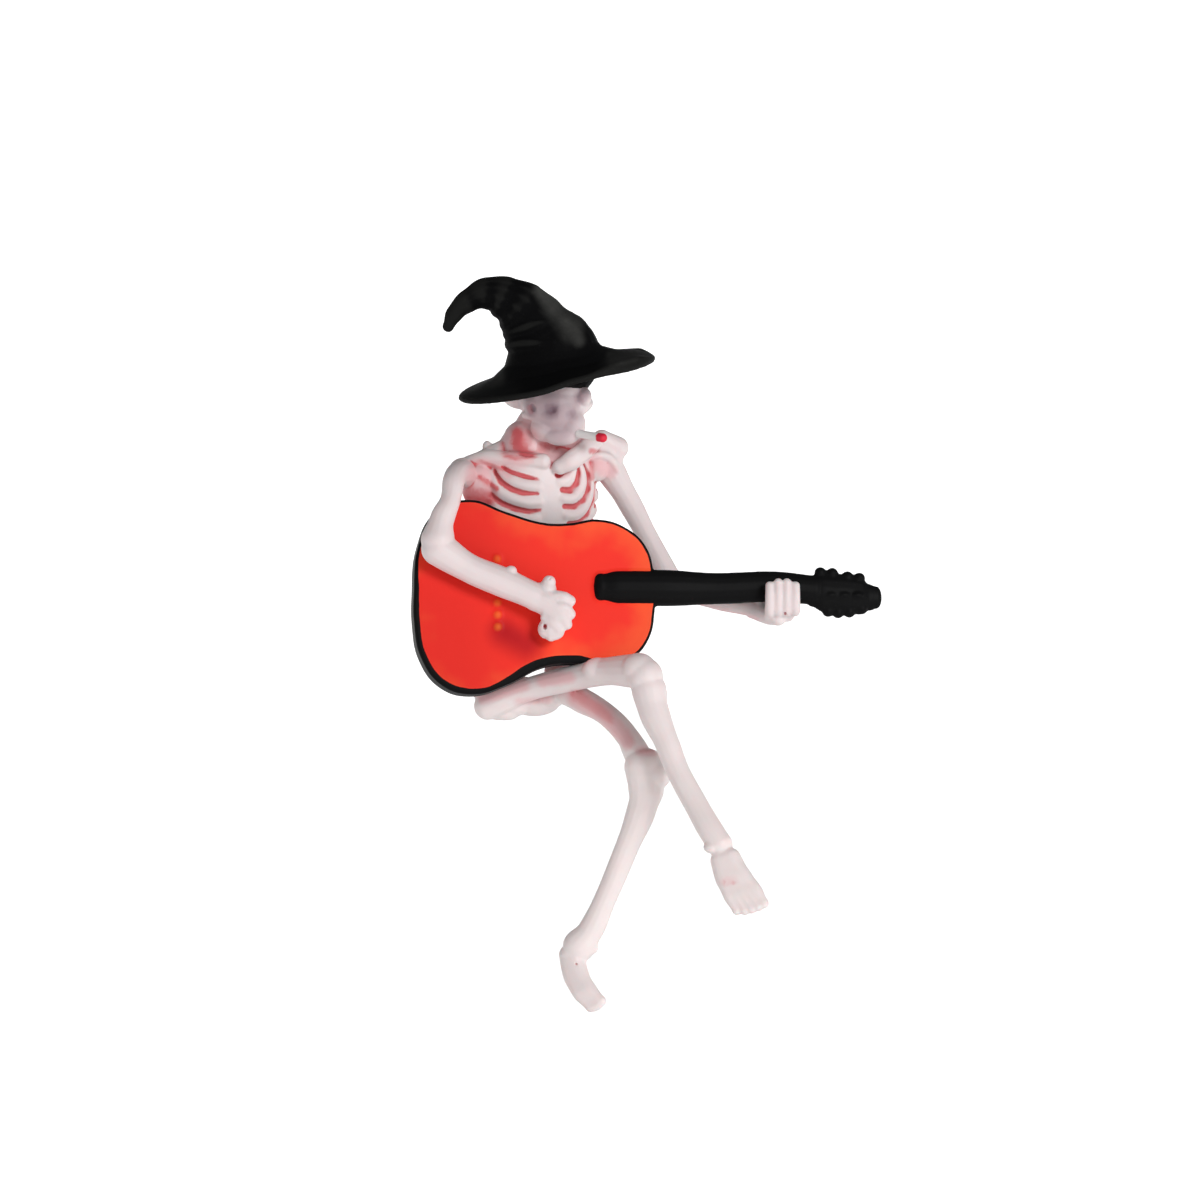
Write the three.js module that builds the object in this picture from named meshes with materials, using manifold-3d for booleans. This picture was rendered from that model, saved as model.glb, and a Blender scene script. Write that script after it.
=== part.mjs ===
// A seated skeleton in a curled hat that plays a guitar: a small cast figurine for a shelf edge.
// Millimetres, +Z up. The figure faces -Y, and its flat seat lies in the plane Z = 0.

import * as THREE from "three";
import { mergeVertices } from "three/addons/utils/BufferGeometryUtils.js";
import Module from "manifold-3d";

const wasm = await Module();
wasm.setup();

const PIECE_GAP = 0.3;

// The seat is the flat that a shelf leaves under the pelvis and the left thigh. The shelf ends
// behind the knees, so both shins hang in front of it.
const SHELF_LEFT_X = -10;
const SHELF_EDGE_Y = -8.8;
const SHELF_LENGTH = 24;
const SHELF_DEPTH = 20;

const BURIED = [0, 0];
const FRONT = new THREE.Vector3(0, -1, 0);
const SKYWARD = new THREE.Vector3(0, 0, 1);

// The chest is a tapered barrel that looks a little to the figure's left.
const CHEST_X = 1.0;
const CHEST_Y = 3.2;
const CHEST_TURN = THREE.MathUtils.degToRad(20);
const RIB_PITCH = 2.5;
const RIB_RADIUS = 0.92;
const RIB_RISE = 3.7;

// The head looks further round to the same side and leans over.
const HEAD_CENTRE = [2.6, 2.8, 50.0];
const HEAD_TURN = THREE.MathUtils.degToRad(33);
const HEAD_LEAN = THREE.MathUtils.degToRad(-12);
const SKULL_LENGTH = 12.8;
const SKULL_WIDTH = 10.6;
const SKULL_HEIGHT = 11.2;

// The hat sits on the head and follows its lean.
const BRIM_CENTRE = [4.0, 2.0, 51.5];
const BRIM_RADIUS = 14.6;
const BRIM_THICKNESS = 1.0;
const BRIM_DROOP = 0.9;
const CROWN_RADIUS = 6.9;
const HAT_LEAN = THREE.MathUtils.degToRad(-11.2);

// The guitar leans back against the figure, and its neck swings away from the front.
const GUITAR_CENTRE = [1.0, -10.8, 19.4];
const GUITAR_LEAN = THREE.MathUtils.degToRad(15);
const GUITAR_TURN = THREE.MathUtils.degToRad(8);
const GUITAR_ROLL = THREE.MathUtils.degToRad(-1.4);
const GUITAR_DEPTH = 4.2;
const NECK_AXIS = 1.7;
const NECK_START = 8.4;
const NECK_END = 42.0;
const HEADSTOCK_END = 52.1;
const TUNING_KNOBS = 4;

// Colours of the plain castings.
const BONE = new THREE.MeshStandardMaterial({ color: 0xe8dcdc, roughness: 0.5, metalness: 0 });
const HAT_BLACK = new THREE.MeshStandardMaterial({ color: 0x141414, roughness: 0.45, metalness: 0 });
const GUITAR_RED = new THREE.MeshStandardMaterial({ color: 0xf03a20, roughness: 0.4, metalness: 0 });
const PAPER_WHITE = new THREE.MeshStandardMaterial({ color: 0xf2eeee, roughness: 0.7, metalness: 0 });

function toSolid(geometry) {
  geometry.deleteAttribute("normal");
  geometry.deleteAttribute("uv");
  const shell = mergeVertices(geometry, 1e-4);
  const corners = shell.index.array;
  const places = shell.attributes.position;
  const a = new THREE.Vector3();
  const b = new THREE.Vector3();
  const c = new THREE.Vector3();
  const triVerts = [];
  let volume = 0;
  for (let i = 0; i < corners.length; i += 3) {
    const [p, q, r] = [corners[i], corners[i + 1], corners[i + 2]];
    if (p === q || q === r || r === p) continue;
    triVerts.push(p, q, r);
    a.fromBufferAttribute(places, p);
    b.fromBufferAttribute(places, q);
    c.fromBufferAttribute(places, r);
    volume += a.dot(b.cross(c));
  }
  if (volume < 0) triVerts.reverse();
  const mesh = new wasm.Mesh({
    numProp: 3,
    vertProperties: new Float32Array(places.array),
    triVerts: new Uint32Array(triVerts),
  });
  return new wasm.Manifold(mesh);
}

function joined(solids) {
  return wasm.Manifold.union(solids);
}

function namedMesh(name, solid, material) {
  const { vertProperties, triVerts } = solid.getMesh();
  const geometry = new THREE.BufferGeometry();
  geometry.setAttribute("position", new THREE.BufferAttribute(new Float32Array(vertProperties), 3));
  geometry.setIndex(new THREE.BufferAttribute(new Uint32Array(triVerts), 1));
  geometry.computeVertexNormals();
  const mesh = new THREE.Mesh(geometry, material);
  mesh.name = name;
  return mesh;
}

// A rounded bar laid along a smooth line. Each station is [x, y, z, radius], and the bar is
// `wide` times as broad across as it is deep towards `facing`. The caps are the depths of its
// two rounded ends against their radii; an end that is buried in another part has 0 and is flat.
function bone(stations, { sides = 6, steps = 2, wide = 1, facing = FRONT,
  caps = [1, 1], ripple = () => 1 } = {}) {
  const spans = stations.length - 1;
  const line = new THREE.CatmullRomCurve3(
    stations.map(([x, y, z]) => new THREE.Vector3(x, y, z)), false, "centripetal");
  const radiusAt = (t) => {
    const span = Math.min(Math.floor(t * spans), spans - 1);
    const part = THREE.MathUtils.smoothstep(t * spans - span, 0, 1);
    return THREE.MathUtils.lerp(stations[span][3], stations[span + 1][3], part) * ripple(t);
  };
  const shoulder = { out: 0.66, along: 0.75 };
  const firstCap = caps[0] * radiusAt(0);
  const lastCap = caps[1] * radiusAt(1);
  const profile = [new THREE.Vector2(0, -firstCap)];
  if (firstCap > 0) {
    profile.push(new THREE.Vector2(radiusAt(0) * shoulder.out, -firstCap * shoulder.along));
  }
  for (let i = 0; i <= spans * steps; i += 1) {
    const t = i / (spans * steps);
    profile.push(new THREE.Vector2(radiusAt(t), t));
  }
  if (lastCap > 0) {
    profile.push(new THREE.Vector2(radiusAt(1) * shoulder.out, 1 + lastCap * shoulder.along));
  }
  profile.push(new THREE.Vector2(0, 1 + lastCap));

  const bar = new THREE.LatheGeometry(profile, sides);
  const places = bar.attributes.position;
  for (let i = 0; i < places.count; i += 1) {
    const along = places.getY(i);
    const t = THREE.MathUtils.clamp(along, 0, 1);
    const tangent = line.getTangent(t);
    const across = new THREE.Vector3().crossVectors(tangent, facing).normalize();
    const deep = new THREE.Vector3().crossVectors(across, tangent).normalize();
    const place = line.getPoint(t)
      .addScaledVector(tangent, along - t)
      .addScaledVector(across, places.getX(i) * wide)
      .addScaledVector(deep, places.getZ(i));
    places.setXYZ(i, place.x, place.y, place.z);
  }
  return toSolid(bar);
}

// A ball stretched to three radii, turned about the upright and then leaned sideways.
function ball(centre, [rx, ry, rz], { turn = 0, lean = 0, sides = 6, rings = 4 } = {}) {
  const geometry = new THREE.SphereGeometry(1, sides, rings);
  geometry.rotateX(Math.PI / 2);
  geometry.scale(rx, ry, rz);
  geometry.applyMatrix4(leaned(centre, turn, lean));
  return toSolid(geometry);
}

function leaned(centre, turn, lean) {
  return new THREE.Matrix4().makeTranslation(...centre)
    .multiply(new THREE.Matrix4().makeRotationY(lean))
    .multiply(new THREE.Matrix4().makeRotationZ(turn));
}

// A place in the head's own axes (side, ahead, up), given in the figure's frame.
const headFrame = leaned(HEAD_CENTRE, HEAD_TURN, HEAD_LEAN);
function onHead(side, ahead, up) {
  return new THREE.Vector3(side, -ahead, up).applyMatrix4(headFrame).toArray();
}

// The brain case and brow, with a clear space of `margin` round them.
function brainCase(margin) {
  const radii = [SKULL_WIDTH / 2 + margin, SKULL_LENGTH / 2 + margin, SKULL_HEIGHT / 2 + margin];
  const browHeight = -1.2;
  const brow = bone([[...onHead(-3.9, 3.6, browHeight), 1.1 + margin],
    [...onHead(0, 5.4, browHeight), 1.2 + margin], [...onHead(3.9, 3.6, browHeight), 1.1 + margin]],
  { steps: 1, facing: SKYWARD, caps: BURIED });
  return ball(HEAD_CENTRE, radii, { turn: HEAD_TURN, lean: HEAD_LEAN, sides: 10, rings: 6 }).add(brow);
}

function skull() {
  const eyeHeight = -2.5;
  const eyeSpread = 2.5;
  const jawDrop = -8.3;
  const face = [
    brainCase(0),
    ball(onHead(0, 3.2, -4.2), [3.7, 2.7, 3.4], { turn: HEAD_TURN, lean: HEAD_LEAN }),
    bone([[...onHead(-2.9, 4.3, -6.2), 1.0], [...onHead(0, 5.7, -6.2), 1.2],
      [...onHead(2.9, 4.3, -6.2), 1.0]], { steps: 1, facing: SKYWARD, caps: BURIED }),
  ];
  for (const side of [-1, 1]) {
    face.push(bone([[...onHead(side * 1.9, 4.9, -4.3), 0.9], [...onHead(side * 4.3, 3.6, -3.9), 0.9],
      [...onHead(side * 5.2, 0.2, -3.4), 0.75]], { steps: 1, facing: SKYWARD, caps: [0, 1] }));
    face.push(bone([[...onHead(side * 4.6, -0.6, -3.6), 0.9], [...onHead(side * 4.3, 0.2, -6.2), 1.2],
      [...onHead(side * 2.6, 3.4, jawDrop), 1.2], [...onHead(0, 4.9, jawDrop - 0.2), 1.35]],
    { steps: 1, facing: SKYWARD }));
  }
  let head = joined(face);
  for (const side of [-1, 1]) {
    head = head.subtract(ball(onHead(side * eyeSpread, 5.7, eyeHeight), [1.35, 1.9, 1.25],
      { turn: HEAD_TURN, lean: HEAD_LEAN }));
  }
  const nose = ball(onHead(0, 6.2, -4.2), [0.6, 1.3, 0.85], { turn: HEAD_TURN, lean: HEAD_LEAN });
  return head.subtract(nose);
}

// A point of the chest barrel: angle 0 is the breastbone, 180 degrees is the spine.
function onChest(halfWidth, halfDepth, angle, side, height) {
  const across = side * halfWidth * Math.sin(angle);
  const back = -halfDepth * Math.cos(angle);
  return [
    CHEST_X + across * Math.cos(CHEST_TURN) - back * Math.sin(CHEST_TURN),
    CHEST_Y + across * Math.sin(CHEST_TURN) + back * Math.cos(CHEST_TURN),
    height,
  ];
}

function rib({ halfWidth, halfDepth, front, rise, from, radius }, side) {
  const stations = [];
  const turns = 5;
  const end = 172;
  for (let i = 0; i <= turns; i += 1) {
    const degrees = THREE.MathUtils.lerp(from, end, i / turns);
    const angle = THREE.MathUtils.degToRad(degrees);
    const climb = rise * Math.sin(THREE.MathUtils.degToRad(Math.min(degrees, 120) * 0.75));
    stations.push([...onChest(halfWidth, halfDepth, angle, side, front + climb), radius]);
  }
  return bone(stations, { sides: 4, steps: 1, facing: SKYWARD, caps: BURIED });
}

function chest() {
  const lowestFullRib = 28.0;
  const fullWidths = [8.9, 8.9, 8.1, 7.2];
  const pieces = [
    ball([CHEST_X, CHEST_Y, 34.2], [7.7, 4.9, 8.0], { turn: CHEST_TURN, sides: 10, rings: 6 }),
    bone([[3.0, -2.2, 39.2, 1.3], [3.2, -2.5, 35.0, 1.05], [3.4, -2.4, 30.6, 1.05]], { wide: 1.05 }),
  ];
  for (const side of [-1, 1]) {
    for (const [level, halfWidth] of fullWidths.entries()) {
      const front = lowestFullRib + level * RIB_PITCH;
      const halfDepth = 5.7 - 0.35 * Math.abs(level - 1.5);
      pieces.push(rib({ halfWidth, halfDepth, front, rise: RIB_RISE, from: 5, radius: RIB_RADIUS }, side));
    }
    for (let level = 1; level <= 2; level += 1) {
      const front = lowestFullRib - level * RIB_PITCH;
      const halfWidth = 8.9 - level;
      pieces.push(rib({ halfWidth, halfDepth: 5.6, front, rise: RIB_RISE, from: 40 + 30 * level,
        radius: 0.8 }, side));
    }
    pieces.push(rib({ halfWidth: 4.7, halfDepth: 4.6, front: 38.9, rise: 2.4, from: 10, radius: 0.8 }, side));
  }
  return joined(pieces);
}

function spine() {
  const column = [[-2.6, 4.6, 5.0, 1.9], [-2.2, 6.2, 12.0, 1.5], [-1.5, 7.8, 20.0, 1.4],
    [-1.1, 8.9, 29.0, 1.5], [-0.6, 8.6, 37.0, 1.5], [0.6, 7.0, 42.5, 1.5], [1.8, 5.2, 46.5, 1.7]];
  const vertebrae = 12;
  const ripple = (t) => 1 + 0.18 * Math.cos(t * vertebrae * 2 * Math.PI);
  return bone(column, { steps: 4, wide: 1.15, caps: BURIED, ripple });
}

function shoulders() {
  const pieces = [
    bone([[2.0, -2.7, 39.3, 1.05], [-3.0, -2.2, 39.7, 0.9], [-7.3, -0.6, 40.2, 0.95], [-9.6, 1.0, 39.6, 1.2]],
      { steps: 1, facing: SKYWARD }),
    bone([[4.2, -2.5, 39.0, 1.1], [6.5, -1.6, 39.7, 1.05], [8.6, 1.0, 41.2, 1.05], [11.6, 6.0, 41.8, 1.2]],
      { steps: 1, facing: SKYWARD }),
    ball([12.3, 6.8, 41.0], [2.1, 1.9, 1.5], { turn: CHEST_TURN }),
    bone([[-6.6, 1.6, 41.4, 0.8], [-6.2, 1.6, 40.2, 1.0]], { steps: 1 }),
  ];
  const bladeTurn = THREE.MathUtils.degToRad(24);
  for (const [side, x, y] of [[-1, -5.4, 6.6], [1, 6.6, 10.6]]) {
    pieces.push(ball([x, y, 35.6], [3.3, 1.2, 4.6], { turn: CHEST_TURN - side * bladeTurn }));
    pieces.push(bone([[x - side * 2.4, y + 0.9, 36.8, 0.7], [x + side * 1.6, y + 0.6, 38.8, 0.8],
      [x + side * 4.6, y - 3.4, 39.9, 1.1]], { steps: 1, facing: SKYWARD, caps: [1, 0] }));
  }
  return joined(pieces);
}

function pelvis() {
  const pieces = [
    ball([-2.7, 4.0, 4.4], [3.2, 2.4, 4.0], { turn: CHEST_TURN }),
    ball([-4.2, -1.4, 1.6], [3.0, 3.4, 2.1], { turn: CHEST_TURN }),
    ball([1.2, 1.6, 1.6], [3.0, 3.0, 2.1], { turn: CHEST_TURN }),
    bone([[-4.6, -4.6, 3.4, 1.3], [-1.4, -4.0, 3.0, 1.2], [2.2, -1.2, 2.8, 1.3]], { steps: 1, facing: SKYWARD }),
    bone([[-2.8, 4.9, 8.0, 1.5], [-6.6, 2.6, 9.6, 1.3], [-7.8, -1.6, 7.4, 1.3], [-6.4, -4.0, 3.2, 1.8]],
      { steps: 1, facing: SKYWARD }),
    bone([[-2.4, 4.9, 8.0, 1.5], [1.8, 6.2, 9.6, 1.3], [4.6, 3.8, 7.2, 1.3], [3.6, 1.2, 3.0, 1.8]],
      { steps: 1, facing: SKYWARD }),
    ball([-2.2, 2.4, 4.6], [5.6, 3.0, 3.4], { turn: CHEST_TURN }),
    ball([-0.9, -0.2, 2.4], [6.0, 4.2, 3.3], { turn: CHEST_TURN, sides: 8 }),
  ];
  return joined(pieces);
}

// The right leg lies over the left one, so its shin hangs in front of the left knee.
function rightLeg() {
  return joined([
    bone([[-6.3, -4.3, 2.2, 2.1], [1.6, -9.0, 5.4, 1.8], [9.6, -14.2, 8.4, 2.2], [15.6, -18.8, 9.5, 2.6]],
    { caps: [1, 0] }),
    ball([16.9, -19.6, 9.2], [2.9, 2.9, 2.9]),
    bone([[17.4, -20.2, 8.4, 2.7], [18.7, -22.0, 3.8, 2.45], [20.4, -24.4, -0.4, 2.1],
      [22.8, -27.3, -5.9, 1.75], [25.3, -30.0, -10.6, 1.75], [27.7, -32.1, -14.3, 2.1]],
    { facing: new THREE.Vector3(0, -0.6, 0.8), caps: BURIED }),
  ]);
}

function leftLeg() {
  return joined([
    bone([[3.4, 1.0, 2.3, 2.5], [9.0, -7.2, 2.2, 2.4], [12.4, -12.0, 1.6, 2.0], [15.6, -16.2, -1.4, 2.0],
      [17.0, -18.2, -3.4, 2.3]], { facing: SKYWARD, caps: BURIED }),
    ball([17.3, -18.3, -5.0], [3.2, 2.9, 2.7]),
    bone([[17.2, -18.4, -5.6, 2.9], [16.3, -18.4, -10.6, 2.1], [14.6, -18.2, -15.2, 1.75],
      [12.4, -17.8, -21.2, 1.7], [10.4, -17.6, -26.2, 1.75], [7.7, -17.2, -31.9, 2.2]],
    { caps: BURIED }),
  ]);
}

// A foot hangs from an ankle: a heel, an arched instep and five toes side by side.
function foot({ ankle, heel, instep, toeBase, toeTip, spread, toeRadius, bigToeSide }) {
  const across = new THREE.Vector3(...spread);
  const pieces = [
    ball(ankle, [2.3, 2.1, 1.6]),
    bone([[...ankle, 1.9], [...heel, 1.7]], { steps: 1, facing: new THREE.Vector3(1, 0, 0), caps: [0, 1] }),
    bone([[...ankle, 1.9], [...instep, 1.85], [...toeBase, 1.45]], { wide: 1.2, caps: [0, 0.5] }),
  ];
  const toes = 5;
  for (let i = 0; i < toes; i += 1) {
    const shift = (i / (toes - 1) - 0.5) * 2;
    const isBigToe = bigToeSide * shift > 0.9;
    const shorten = 0.5 * Math.abs(shift - bigToeSide * 0.4);
    const root = new THREE.Vector3(...instep).lerp(new THREE.Vector3(...toeBase), 1.1)
      .addScaledVector(across, shift * 0.78);
    const tip = new THREE.Vector3(...toeTip).addScaledVector(across, shift)
      .lerp(root, shorten * 0.3);
    const radius = isBigToe ? toeRadius * 1.25 : toeRadius;
    pieces.push(bone([[...root.toArray(), radius], [...tip.toArray(), radius * 0.85]],
      { sides: 4, steps: 1, caps: [0, 1] }));
  }
  return joined(pieces);
}

function rightArm() {
  return joined([
    ball([-9.9, -0.8, 37.8], [2.6, 2.6, 2.5]),
    bone([[-10.1, -1.4, 37.6, 2.4], [-11.2, -6.3, 36.7, 2.0], [-12.7, -11.7, 33.4, 2.0],
      [-14.0, -14.4, 28.6, 2.6]], { facing: new THREE.Vector3(1, 0, 0) }),
    bone([[-13.9, -14.4, 27.9, 2.6], [-8.6, -15.2, 25.3, 2.35], [-3.4, -15.6, 22.8, 2.3],
      [0.6, -15.6, 20.9, 1.9]], { caps: [1, 0] }),
  ]);
}

function rightHand() {
  const fingers = [
    [[3.0, -16.0, 20.6], [6.2, -16.1, 20.1], [6.6, -14.8, 19.3]],
    [[2.8, -16.4, 19.6], [6.4, -16.4, 18.5], [6.3, -15.0, 17.5]],
    [[2.4, -16.4, 18.7], [5.9, -16.4, 16.8], [5.4, -15.0, 15.9]],
    [[1.8, -16.0, 18.0], [4.6, -16.0, 15.2], [2.7, -15.6, 14.3], [1.3, -15.2, 15.4]],
  ];
  const fingerRadius = 0.88;
  return joined([
    bone([[0.6, -15.6, 20.9, 1.9], [3.4, -15.4, 19.0, 1.9]], { wide: 1.25, caps: [0, 1] }),
    bone([[1.8, -15.4, 21.0, 1.0], [3.0, -15.0, 22.8, 0.95]]),
    ...fingers.map((finger) => bone(finger.map((joint) => [...joint, fingerRadius]),
      { sides: 5, steps: 1, facing: new THREE.Vector3(0, -0.9, 0.4), caps: [0, 1] })),
  ]);
}

function leftArm() {
  return joined([
    ball([11.6, 5.8, 37.6], [2.3, 2.3, 2.2]),
    bone([[11.7, 6.0, 37.2, 2.3], [14.6, 6.4, 32.4, 1.9], [18.4, 6.8, 26.2, 1.7], [22.9, 7.0, 18.6, 1.8]]),
    bone([[22.9, 7.0, 18.6, 1.8], [27.6, 3.4, 17.4, 1.5], [33.6, -1.8, 16.6, 1.25]], { facing: SKYWARD }),
  ]);
}

function leftHand() {
  const fingerRadius = 0.74;
  const firstFinger = 35.8;
  const fingerPitch = 1.22;
  const pieces = [
    bone([[33.6, -1.8, 16.4, 1.3], [35.8, -4.2, 16.1, 1.4], [37.4, -6.2, 16.1, 1.3]],
      { wide: 1.4, facing: SKYWARD }),
    bone([[34.6, -2.6, 17.0, 0.9], [35.2, -1.6, 19.4, 0.8], [35.6, -1.8, 21.4, 0.75]], { sides: 5 }),
  ];
  for (let i = 0; i < 4; i += 1) {
    const x = firstFinger + i * fingerPitch;
    const reach = 0.35 * Math.sin((i + 0.5) / 4 * Math.PI);
    pieces.push(bone([[x, -6.2, 16.4, fingerRadius], [x, -8.2, 17.4, fingerRadius],
      [x, -8.4, 19.4, fingerRadius], [x, -7.9, 21.2 + reach, fingerRadius * 0.9]],
    { sides: 4, steps: 1, facing: new THREE.Vector3(1, 0, 0), caps: [0, 1] }));
  }
  return joined(pieces);
}

function skeleton() {
  const whole = joined([
    skull(), spine(), chest(), shoulders(), pelvis(), rightLeg(), leftLeg(),
    foot({ ankle: [27.9, -32.3, -14.7], heel: [27.4, -30.6, -16.6], instep: [29.2, -34.0, -17.6],
      toeBase: [30.8, -36.0, -20.0], toeTip: [33.2, -38.2, -22.4], spread: [1.9, -0.4, 0.75],
      toeRadius: 0.6, bigToeSide: 1 }),
    foot({ ankle: [7.3, -17.2, -32.4], heel: [6.6, -15.8, -34.6], instep: [6.6, -18.2, -35.0],
      toeBase: [7.8, -20.4, -38.0], toeTip: [9.8, -22.8, -40.4], spread: [1.35, -0.9, 0.25],
      toeRadius: 0.58, bigToeSide: -1 }),
    rightArm(), rightHand(), leftArm(), leftHand(),
  ]);
  const shelf = new THREE.BoxGeometry(SHELF_LENGTH, SHELF_DEPTH, SHELF_DEPTH);
  shelf.translate(SHELF_LEFT_X + SHELF_LENGTH / 2, SHELF_EDGE_Y + SHELF_DEPTH / 2, -SHELF_DEPTH / 2);
  return whole.subtract(toSolid(shelf));
}

function hat() {
  const brimProfile = [[0, 4.6], [CROWN_RADIUS - 0.4, 4.2], [CROWN_RADIUS + 0.5, 2.3], [9.6, 0.9],
    [12.2, 0.3], [BRIM_RADIUS - 0.3, -0.1], [BRIM_RADIUS, -0.5 * BRIM_THICKNESS],
    [BRIM_RADIUS - 0.4, -BRIM_THICKNESS], [11.5, -0.8], [8.0, -0.5], [0, -0.4]];
  const brim = new THREE.LatheGeometry(brimProfile.map(([x, y]) => new THREE.Vector2(x, y)), 20);
  brim.rotateX(Math.PI / 2);
  const places = brim.attributes.position;
  for (let i = 0; i < places.count; i += 1) {
    const [x, y, z] = [places.getX(i), places.getY(i), places.getZ(i)];
    const outward = THREE.MathUtils.smoothstep(Math.hypot(x, y), CROWN_RADIUS, BRIM_RADIUS);
    const towardFrontLeft = Math.max(0, -(x + y) / (BRIM_RADIUS * Math.SQRT2));
    places.setZ(i, z - outward * BRIM_DROOP * towardFrontLeft);
  }
  brim.applyMatrix4(leaned(BRIM_CENTRE, 0, HAT_LEAN));

  const creases = 8;
  const crown = bone([[3.6, 2.0, 54.2, 6.8], [3.3, 2.0, 55.4, 6.4], [2.3, 2.0, 57.2, 5.8],
    [1.2, 2.0, 59.6, 5.2], [-0.9, 2.0, 61.8, 4.5], [-4.0, 2.0, 63.2, 3.5], [-6.6, 2.0, 63.3, 2.8],
    [-9.3, 2.0, 62.3, 1.85], [-11.2, 2.0, 60.6, 1.35], [-12.3, 2.0, 58.5, 0.75]],
  { sides: 11, caps: [0, 0.6], ripple: (t) => 1 + 0.03 * Math.sin(t * creases * 2 * Math.PI) });
  return toSolid(brim).add(crown).subtract(brainCase(PIECE_GAP));
}

function guitarFrame() {
  return new THREE.Matrix4().makeTranslation(...GUITAR_CENTRE)
    .multiply(new THREE.Matrix4().makeRotationZ(GUITAR_TURN))
    .multiply(new THREE.Matrix4().makeRotationX(Math.PI / 2 - GUITAR_LEAN))
    .multiply(new THREE.Matrix4().makeRotationZ(GUITAR_ROLL));
}

// The guitar is drawn flat, with its neck along +X and its face at Z = 0.
function guitar() {
  const outline = new THREE.CatmullRomCurve3([
    [-18.1, 1.0], [-17.4, 7.8], [-14.6, 13.2], [-9.6, 14.8], [-4.2, 13.0], [1.6, 11.4], [5.2, 11.4],
    [9.4, 12.0], [13.4, 10.9], [16.6, 8.0], [17.8, 3.4], [17.8, -1.8], [16.9, -5.8], [14.4, -8.7],
    [10.0, -9.8], [5.4, -9.5], [1.2, -10.0], [-4.2, -12.7], [-9.6, -14.2], [-14.0, -12.9],
    [-17.1, -8.8], [-18.1, -3.6],
  ].map(([x, y]) => new THREE.Vector3(x, y, 0)), true, "centripetal");
  const shape = new THREE.Shape(outline.getPoints(36).slice(0, -1).map(({ x, y }) => new THREE.Vector2(x, y)));
  const edge = 0.35;
  const body = new THREE.ExtrudeGeometry(shape, { depth: GUITAR_DEPTH - 2 * edge, bevelEnabled: true,
    bevelThickness: edge, bevelSize: edge, bevelOffset: -edge, bevelSegments: 1, curveSegments: 1 });
  body.translate(0, 0, -GUITAR_DEPTH + edge);

  const neckDepth = 1.5;
  const acrossNeck = { facing: SKYWARD, sides: 8, caps: [0.6, 0.6] };
  const neck = bone([[NECK_START + 1.4, NECK_AXIS, -0.7, neckDepth], [15.6, NECK_AXIS, -0.7, 1.75],
    [26.0, NECK_AXIS, -0.8, 1.6], [36.0, NECK_AXIS, -0.9, neckDepth],
    [NECK_END, NECK_AXIS, -1.0, 1.35]], { ...acrossNeck, wide: 1.55 });
  const headstock = bone([[NECK_END - 0.4, NECK_AXIS, -1.1, 1.25], [NECK_END + 3.0, NECK_AXIS, -1.2, 1.4],
    [HEADSTOCK_END - 0.9, NECK_AXIS - 0.4, -1.4, 1.0]], { ...acrossNeck, wide: 1.7 });
  const pieces = [toSolid(body), neck, headstock];
  const knobPitch = 2.1;
  for (let i = 0; i < TUNING_KNOBS; i += 1) {
    for (const side of [-1, 1]) {
      const reach = 2.4 - 0.2 * i;
      pieces.push(ball([NECK_END + 1.4 + i * knobPitch, NECK_AXIS + side * reach, -1.3], [0.95, 0.95, 1.0],
        { sides: 6, rings: 4 }));
    }
  }
  const bridgeX = -5.7;
  for (const height of [5.9, 2.6, -0.6, -2.4, -4.2]) {
    pieces.push(ball([bridgeX, height, 0], [0.6, 0.75, 0.45], { sides: 5, rings: 4 }));
  }
  return joined(pieces);
}

function cigarette() {
  return bone([[8.1, -5.4, 43.6, 0.55], [9.4, -6.6, 43.3, 0.58], [10.8, -7.9, 43.0, 0.66]],
    { sides: 8, steps: 2 });
}

const guitarMesh = namedMesh("guitar", guitar(), GUITAR_RED);
guitarMesh.geometry.applyMatrix4(guitarFrame());

const figurine = new THREE.Group();
figurine.add(namedMesh("skeleton", skeleton(), BONE));
figurine.add(namedMesh("witch_hat", hat(), HAT_BLACK));
figurine.add(guitarMesh);
figurine.add(namedMesh("cigarette", cigarette(), PAPER_WHITE));

export default figurine;
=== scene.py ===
"""A small cast skeleton that sits on a shelf edge and plays a guitar.

Places and radii are in millimetres in the figure's own frame: the origin lies under the seat,
+Z is up, and the figure faces -Y. Lengths in the panel's properties are in metres.
"""

import math

import bpy
import numpy as np
from mathutils import Color, Matrix, Vector
from mathutils.bvhtree import BVHTree


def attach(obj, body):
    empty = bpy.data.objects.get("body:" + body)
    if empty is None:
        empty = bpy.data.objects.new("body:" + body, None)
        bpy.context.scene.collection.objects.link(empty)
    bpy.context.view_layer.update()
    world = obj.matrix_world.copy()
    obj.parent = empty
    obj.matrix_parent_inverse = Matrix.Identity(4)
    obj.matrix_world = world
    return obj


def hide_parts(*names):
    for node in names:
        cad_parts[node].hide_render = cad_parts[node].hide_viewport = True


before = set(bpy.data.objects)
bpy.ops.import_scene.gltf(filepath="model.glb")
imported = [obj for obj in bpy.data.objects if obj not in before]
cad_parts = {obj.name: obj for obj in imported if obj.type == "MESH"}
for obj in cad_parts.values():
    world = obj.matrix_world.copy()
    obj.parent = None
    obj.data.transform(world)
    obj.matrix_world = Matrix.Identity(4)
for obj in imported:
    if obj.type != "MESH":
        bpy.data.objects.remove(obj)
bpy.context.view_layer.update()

bl_info = {
    "name": "Guitar Skeleton Figurine",
    "version": (1, 0, 0),
    "blender": (4, 5, 0),
    "location": "3D Viewport > Sidebar > Figurine",
    "description": "Casts and paints a small seated skeleton with a hat and a guitar",
    "category": "Add Mesh",
}

MM = 0.001
DEGREE = math.pi / 180

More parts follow.
